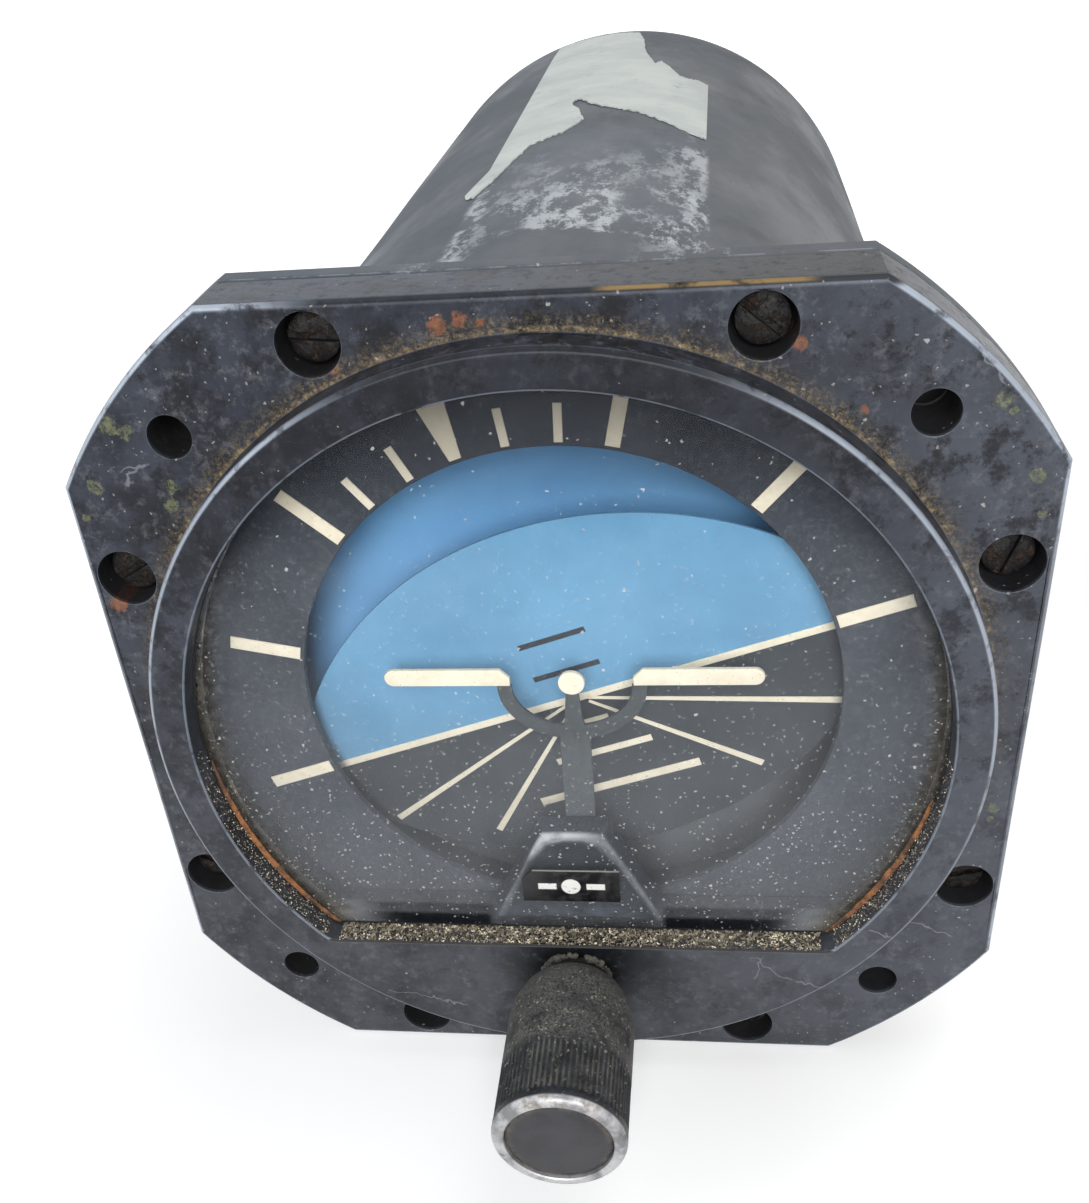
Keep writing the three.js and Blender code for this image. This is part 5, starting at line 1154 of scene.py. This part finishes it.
def make_rear(housing, cap, port):
    shape = Shape()
    inlet = 3.5
    profile = [(HUB_BORE, HUB_FRONT), (HUB_RADIUS, HUB_FRONT), (HUB_RADIUS, REAR_FRONT),
               (HUB_FLANGE_RADIUS, REAR_FRONT), (HUB_FLANGE_RADIUS, REAR_BACK), (inlet, REAR_BACK), (inlet, HUB_FLOOR),
               (HUB_BORE, HUB_FLOOR)]
    shape.lathe(softened(profile, 0.5), 144)
    shape.make("hub_housing", housing, "rear_bearing_housing")

    shape = Shape()
    wall = 1.2
    outer = circle(CAP_RADIUS, 96)
    rings = [shape.ring(offset(outer, -wall), CAP_FRONT), shape.ring(outer, CAP_FRONT)]
    rings += shape.rounded(outer, CAP_END, 1.1, 5, rear=True)
    shape.chain(rings)
    cave = shape.ring(circle(CAP_RADIUS - wall, 96), CAP_END - wall)
    shape.skin(rings[0], cave)
    vents = shape.drill(circle(5, 6), 1.1, CAP_END - wall, CAP_END, 24)
    shape.cap(rings[-1], *(vent[-1] for vent in vents))
    shape.cap(cave, *(vent[0] for vent in vents))
    shape.make("inlet_cap", cap, "air_inlet_cap")

    shape = Shape()
    bore, stem, barb, thread, barb_length = 2.2, 3, 3.9, 4.6, 4.2
    barbs = [PORT_END - barb_length * left for left in (3, 2, 1)]
    profile = [(bore, PORT_FRONT), (thread, PORT_FRONT), (thread, 157.1), (stem, 157.15), (stem, barbs[0])]
    for y in barbs:
        profile += [(barb, y), (barb, y + 0.2), (stem, y + barb_length)]
    shape.lathe(softened(profile + [(bore, PORT_END)], 0.12, 2), 64, -PORT_DROP)
    corners = circle(6.2, 6, 0, -PORT_DROP)
    hexagon = []
    for (ax, az), (bx, bz) in zip(corners, corners[1:] + corners[:1]):
        hexagon += [(ax + (bx - ax) * t, az + (bz - az) * t) for t in (0.06, 0.94)]
    shape.plate(hexagon, 157.05, 163.05, 0.15, [circle(2.95, 48, 0, -PORT_DROP)], 0.6)
    shape.make("hose_port", port, "vacuum_port")


def make_knob(material, face):
    """A domed knob with a knurled band in front and a disc let into its end."""
    shape = Shape()
    teeth, tooth_steps = 72, 6
    count = teeth * tooth_steps
    # The stations are (y, radius, depth of the knurling there)
    stations = []
    for i in range(15):
        t = i / 14
        angle = t * math.pi / 2
        along = 5.8 * (0.55 * (1 - math.cos(angle)) + 0.45 * t)
        stations.append((KNOB_REAR - along, 3.5 + 2.9 * math.sin(angle) ** 0.9, 0))
    stations += [(-13.4, KNOB_RADIUS, 0), (-16.55, KNOB_RADIUS, 0), (-16.85, 6.38, 0.2), (-17.2, 6.38, 0.28),
                 (-22, 6.38, 0.28), (-22.45, 6.38, 0.2), (-22.65, KNOB_RADIUS, 0), (-23.35, KNOB_RADIUS, 0)]
    stations += [(KNOB_FRONT + deep, KNOB_RADIUS - inset, 0) for inset, deep in reversed(rounding(0.75, 6))]
    stations += [(KNOB_FRONT, 5.3, 0), (KNOB_FRONT + 0.1, 5.18, 0), (KNOB_FRONT + 0.75, 5.15, 0)]

    def station(y, radius, depth):
        loop = []
        for i in range(count):
            angle = 2 * math.pi * i / count
            tooth = abs(i % tooth_steps / (tooth_steps / 2) - 1)
            worn = 0.6 + 0.4 * field.noise(Vector((math.cos(angle) * 3, math.sin(angle) * 3, y * 0.3)))
            reach = radius - depth * tooth * worn
            loop.append((reach * math.cos(angle), reach * math.sin(angle) - KNOB_DROP))
        return shape.ring(loop, y)

    outside = [station(*each) for each in stations]
    outside.append([shape.point(0, KNOB_FRONT + 0.75, -KNOB_DROP)] * count)
    bore = circle(1.55, count, 0, -KNOB_DROP)
    bore_end = KNOB_FRONT + 3.9
    inside = [shape.ring(bore, KNOB_REAR), shape.ring(bore, bore_end), [shape.point(0, bore_end, -KNOB_DROP)] * count]
    shape.chain([outside[0], *inside])
    shape.chain(outside)
    shape.make("knurled_knob", material, "knob_body", "adjust_knob", 38)

    disc = Shape()
    profile = [(0, 0.2), (3.2, 0.24), (4.7, 0.32), (5.02, 0.4), (5.1, 0.55), (5.1, 0.7), (0, 0.7)]
    disc.lathe([(radius, KNOB_FRONT + deep) for radius, deep in profile], 96, -KNOB_DROP, closed=False)
    disc.make("knob_end_disc", face, "knob_face", "adjust_knob", 50)


def make_bushing(material, lumps):
    """The knob's collar, with dried crumbs round its front except in one short gap."""
    shape = Shape()
    bore, collar, front, seat = 1.6, 3.4, -4.43, RING_FRONT - 0.05
    profile = [(bore, front), (collar, front), (collar, seat), (BUSHING_RADIUS, seat), (BUSHING_RADIUS, POCKET_FRONT),
               (bore, POCKET_FRONT)]
    shape.lathe(softened(profile, 0.25), 72, -KNOB_DROP)
    shape.make("knob_collar", material, "knob_bushing")
    draw = random.Random(5)
    crumbs = Shape()
    for _ in range(150):
        angle = draw.uniform(-100, 112)
        if 2 < angle < 19:
            continue
        reach = draw.uniform(3.1, 3.75)
        size = draw.uniform(0.16, 0.42)
        ball = bmesh.new()
        bmesh.ops.create_icosphere(ball, subdivisions=2, radius=1)
        first = len(crumbs.points)
        x, z = reach * math.sin(angle * DEG), reach * math.cos(angle * DEG)
        centre = Vector((x, RING_FRONT - size * 0.6, z - KNOB_DROP))
        for v in ball.verts:
            swell = size * (1 + 0.5 * field.noise(v.co * 1.7 + centre * 3))
            crumbs.point(*(centre + v.co * swell))
        crumbs.faces += [tuple(first + v.index for v in f.verts) for f in ball.faces]
        ball.free()
    crumbs.make("collar_crumbs", lumps, sharp=60)


def mark(degrees, reach, inner, outer=None):
    """A bank mark, as a bar from the ring's inside outwards, with its width at either end."""
    angle = (90 - degrees) * DEG
    start, end = ((r * math.cos(angle), r * math.sin(angle)) for r in (MARK_FOOT, reach))
    return bar(start, end, inner, outer)


def make_dial(material, marks):
    shape = Shape()
    shape.plate(circle(DIAL_RADIUS, 192), DIAL_FRONT, DIAL_BACK, 0.1, [circle(DIAL_OPENING, 192)])
    shape.make("dial_ring", material, "bank_dial", "roll_gimbal")
    shape = Shape()
    lines = [mark(degrees, SHORT_MARK, 0.8) for degrees in (-20, -10, 10, 20)]
    lines += [mark(degrees, LONG_MARK, 1.35) for degrees in (-90, -60, -30, 30, 60, 90)]
    lines.append(mark(0, LONG_MARK, 1.15, 3.1))
    for line in lines:
        shape.plate(turned(line, BANK), DIAL_FRONT - 0.12, DIAL_FRONT + 0.05, 0.05)
    shape.make("dial_marks", marks, "bank_dial", "roll_gimbal")


def make_background(material):
    edge = math.acos(SKY_FLAT / SKY_RADIUS)
    shape = Shape()
    outline = arc(0, 0, SKY_RADIUS, edge, 2 * math.pi - edge, 160)
    shape.plate(turned(outline, BANK), SKY_FRONT, SKY_BACK, 0.1)
    shape.make("sky_disc", material, "sky_background", "roll_gimbal")


def make_plate(material, pale, dark):
    """The horizon plate and its lines, drawn level about its pivot and then tilted, moved and banked."""
    rise = PLATE_TOP - PLATE_SHOULDER
    radius = (PLATE_HALF ** 2 + rise ** 2) / (2 * rise)
    centre = radius - PLATE_TOP
    edge = math.atan2(radius - rise, PLATE_HALF)
    outline = arc(0, -centre, radius, edge, math.pi - edge, 90)
    outline += arc(0, centre, radius, math.pi + edge, 2 * math.pi - edge, 90)
    seat = Matrix.Rotation(BANK, 4, "Y") @ Matrix.Translation((0, ARM_PIVOT, 0)) @ Matrix.Rotation(ARM_TILT, 4, "X")

    def make_lines(name, lines, paint):
        shape = Shape()
        for line in lines:
            shape.plate(bar(*line), PLATE_FRONT - 0.1, PLATE_FRONT + 0.05, 0.03)
        shape.move(lambda p: seat @ p)
        shape.make(name, paint, "horizon_plate", "horizon_bar")

    sheet = Shape()
    sheet.plate(outline, PLATE_FRONT, PLATE_FRONT + 0.3, 0.06)
    sheet.move(lambda p: seat @ p)
    sheet.make("horizon_sheet", material, "horizon_plate", "horizon_bar")
    lines = [((-31.4, 0), (31.4, 0), 0.8)]
    lines += [((-half, -drop), (half, -drop), width)
              for drop, half, width in ((3.1, 2, 0.55), (7.15, 5.3, 0.75), (11.74, 9.03, 0.95))]
    lines += [((side * 0.8, -0.8 * drop / reach), (side * reach, -drop), 0.3, 0.72)
              for reach, drop in ((15.11, 14), (25.2, 8.9)) for side in (-1, 1)]
    make_lines("horizon_lines", lines, pale)
    make_lines("sky_bars", [((-3.57, rise), (3.57, rise), 0.58) for rise in (3.47, 7.52)], dark)


def make_symbol(pale, grey):
    def beside(points):
        return [(SYMBOL_X + x, z) for x, z in points]

    wings = Shape()
    half, root = 0.92, 6
    wing = arc(18.45 - half, WING_HEIGHT, half, -math.pi / 2, math.pi / 2, 16)
    wing += [(root + half, WING_HEIGHT + half), (root, WING_HEIGHT), (root, WING_HEIGHT - half)]
    for side in (1, -1):
        wings.plate(beside([(side * x, z) for x, z in wing][::side]), SYMBOL_FRONT, SYMBOL_BACK, 0.1)
    wings.plate(circle(1.3, 40, SYMBOL_X, 3.1), SYMBOL_FRONT - 0.02, SYMBOL_BACK, 0.1)
    wings.make("airplane_wings", pale, "airplane_symbol", "airplane")
    bow = Shape()
    lower = arc(0, 0, 1, math.pi, 2 * math.pi, 48)
    outer, inner, low, high = 7.3, 5.85, 2.6, 2.88
    outline = [(-outer, high)] + [(outer * x, low + 6.1 * z) for x, z in lower] + [(outer, high), (inner, high)]
    outline += [(inner * x, low + 4.5 * z) for x, z in reversed(lower)] + [(-inner, high)]
    bow.plate(beside(outline), SYMBOL_FRONT + 0.03, SYMBOL_BACK, 0.06)
    foot, post = -20.95, 1.54
    outline = [(-post, foot), (post, foot), (post, -3.8), (0.89, -1.15), (0.53, 3.1), (-0.53, 3.1), (-0.89, -1.15),
               (-post, -3.8)]
    bow.plate(beside(outline), SYMBOL_FRONT + 0.01, SYMBOL_BACK, 0.06)
    bow.make("airplane_bow", grey, "airplane_symbol", "airplane")


def make_camera():
    width, height = PHOTO_SIZE
    data = bpy.data.cameras.new("photo_camera")
    data.sensor_width = SENSOR
    data.sensor_fit = "AUTO"
    data.lens = SENSOR * FOCAL_PIXELS / height
    data.shift_x = (width / 2 - CENTRE_PIXEL[0]) / height
    data.shift_y = (CENTRE_PIXEL[1] - height / 2) / height
    data.clip_start = 0.005
    data.clip_end = 50
    right, down, forward = (Vector(row) for row in CAMERA_ROWS)
    camera = place_object("photo_camera", data)
    turn = Matrix((right, -down, -forward)).transposed().to_4x4()
    camera.matrix_world = Matrix.Translation(Vector(CAMERA_PLACE) * MM) @ turn
    bpy.context.scene.camera = camera


def lamp(name, place, aim, size, power, color=(1, 1, 1)):
    data = bpy.data.lights.new(name, "AREA")
    data.shape = "SQUARE"
    data.size = size
    data.energy = power
    data.color = color
    thing = place_object(name, data)
    thing.location = place
    thing.rotation_euler = (Vector(aim) - Vector(place)).to_track_quat("-Z", "Y").to_euler()
    thing.visible_camera = False


def make_floor():
    mesh = bpy.data.meshes.new("floor")
    corners = [(x, y, FLOOR_HEIGHT) for x, y in ((-6, -4), (6, -4), (6, 8), (-6, 8))]
    mesh.from_pydata(corners, [], [(0, 1, 2, 3)])
    material = bpy.data.materials.new("pale_floor")
    graph = Graph(material)
    graph.tree.nodes.clear()
    matte_shader = graph.node("BsdfDiffuse", {"Color": (0.66, 0.66, 0.66, 1)}, "BSDF")
    # Only the part near the object shows its shadow: further off the floor turns plain white
    place = graph.node("TexCoord", out="Object")
    reach = graph.vector("DISTANCE", place, (0, 0.05, FLOOR_HEIGHT))
    limits = {"Value": reach, "From Min": 0.1, "From Max": 0.5, "To Min": 0.42, "To Max": 1}
    glow = graph.node("Emission", {"Strength": graph.seen() * graph.node("MapRange", limits)})
    graph.show(graph.node("AddShader", {0: matte_shader, 1: glow}).socket)
    mesh.materials.append(material)
    place_object("floor", mesh)


def make_stage():
    make_floor()
    world = bpy.data.worlds.new("studio")
    bpy.context.scene.world = world
    graph = Graph(world)
    background = graph.tree.nodes["Background"]
    graph.feed(background.inputs["Color"], (1, 1, 1, 1))
    graph.feed(background.inputs["Strength"], graph.seen().between(0.26, 1))
    lamp("front_softbox", (0.06, -0.82, 0.36), (0, 0.02, 0), 0.32, 4.6)
    lamp("camera_softbox", (0.1, -0.7, 0.52), (0, 0, 0), 0.3, 2.7)
    lamp("top_softbox", (0.35, 0.25, 1.1), (0, 0.06, 0), 0.8, 5.4)
    lamp("left_softbox", (-0.9, -0.25, 0.55), (0, 0.04, 0), 0.6, 2.6, (0.86, 0.93, 1))
    bpy.context.scene.view_settings.view_transform = "Standard"


# The finishes of the pieces that keep their own solids. What isn't named here is of ground steel.
FINISHED = {
    "rubber": ["window_seal"],
    "felt": ["air_filter"],
    "rusty": ["knob_set_screw"],
    "brass": ["knob_pinion", "symbol_rack", "roll_balance_weight", "rotor", "horizon_counterweight"],
    "alloy": ["symbol_guide", "dial_bracket_left", "dial_bracket_right", "roll_gimbal_frame", "erection_body",
              "rotor_housing", "rotor_housing_lid", "horizon_arm"],
}


def main():
    finishes = {
        "steel": metal("ground_steel", (120, 121, 124), (176, 177, 180), 0.32),
        "alloy": metal("machined_alloy", (140, 142, 146), (186, 188, 192), 0.4),
        "brass": metal("machined_brass", (128, 98, 54), (188, 152, 88), 0.36),
        "rubber": rubber(),
        "felt": felt(),
        "rusty": rusty_steel(),
    }
    finish_of = {name: key for key, names in FINISHED.items() for name in names}
    for name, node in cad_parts.items():
        finish = finishes[finish_of.get(name, "steel")]
        if node.data.materials:
            node.data.materials[0] = finish
        else:
            node.data.materials.append(finish)
    make_bezel(flange_paint())
    make_gasket(finishes["rubber"])
    make_screws(finishes["rusty"])
    make_glass(glass())
    bead = sealant()
    make_bead("left_bead", -94, -136, bead)
    make_bead("right_bead", 101, 134, bead)
    make_grit(grit())
    make_tape(tape())
    make_hood(hood_paint())
    make_case(case_paint())
    make_label(label_paper())
    make_rear(
        metal("cast_alloy", (96, 98, 102), (132, 134, 138), 0.5, (3, 1, 3), 0.6),
        metal("cap_alloy", (88, 90, 94), (126, 128, 132), 0.45, (1, 5, 1), 0.7),
        finishes["brass"],
    )
    make_knob(knob_black(), knob_face_paint())
    make_bushing(
        matte("collar_dark", (26, 25, 26), (52, 50, 48)),
        matte("dry_crumbs", (82, 79, 74), (120, 116, 108), roughness=0.9, scale=0.8),
    )
    pale = cream()
    make_dial(matte("dial_paint", (59, 64, 72), (71, 76, 84), roughness=0.6), pale)
    make_background(banked_paint("sky_background_paint", 0.07, (-2.3, -2.1), ((98, 102, 106), (107, 111, 115)),
                                 ((116, 172, 222), (126, 183, 230)), (170, 190, 204)))
    horizon = banked_paint("horizon_paint", 0.08, (-2.24, -2.16), ((61, 66, 70), (72, 77, 81)),
                           ((106, 156, 192), (118, 170, 206)), (196, 204, 206))
    make_plate(horizon, pale, matte("sky_bar_paint", (44, 50, 58), (58, 64, 72)))
    make_symbol(pale, matte("symbol_grey", (66, 71, 74), (80, 85, 88), roughness=0.6))
    make_stage()
    make_camera()


main()
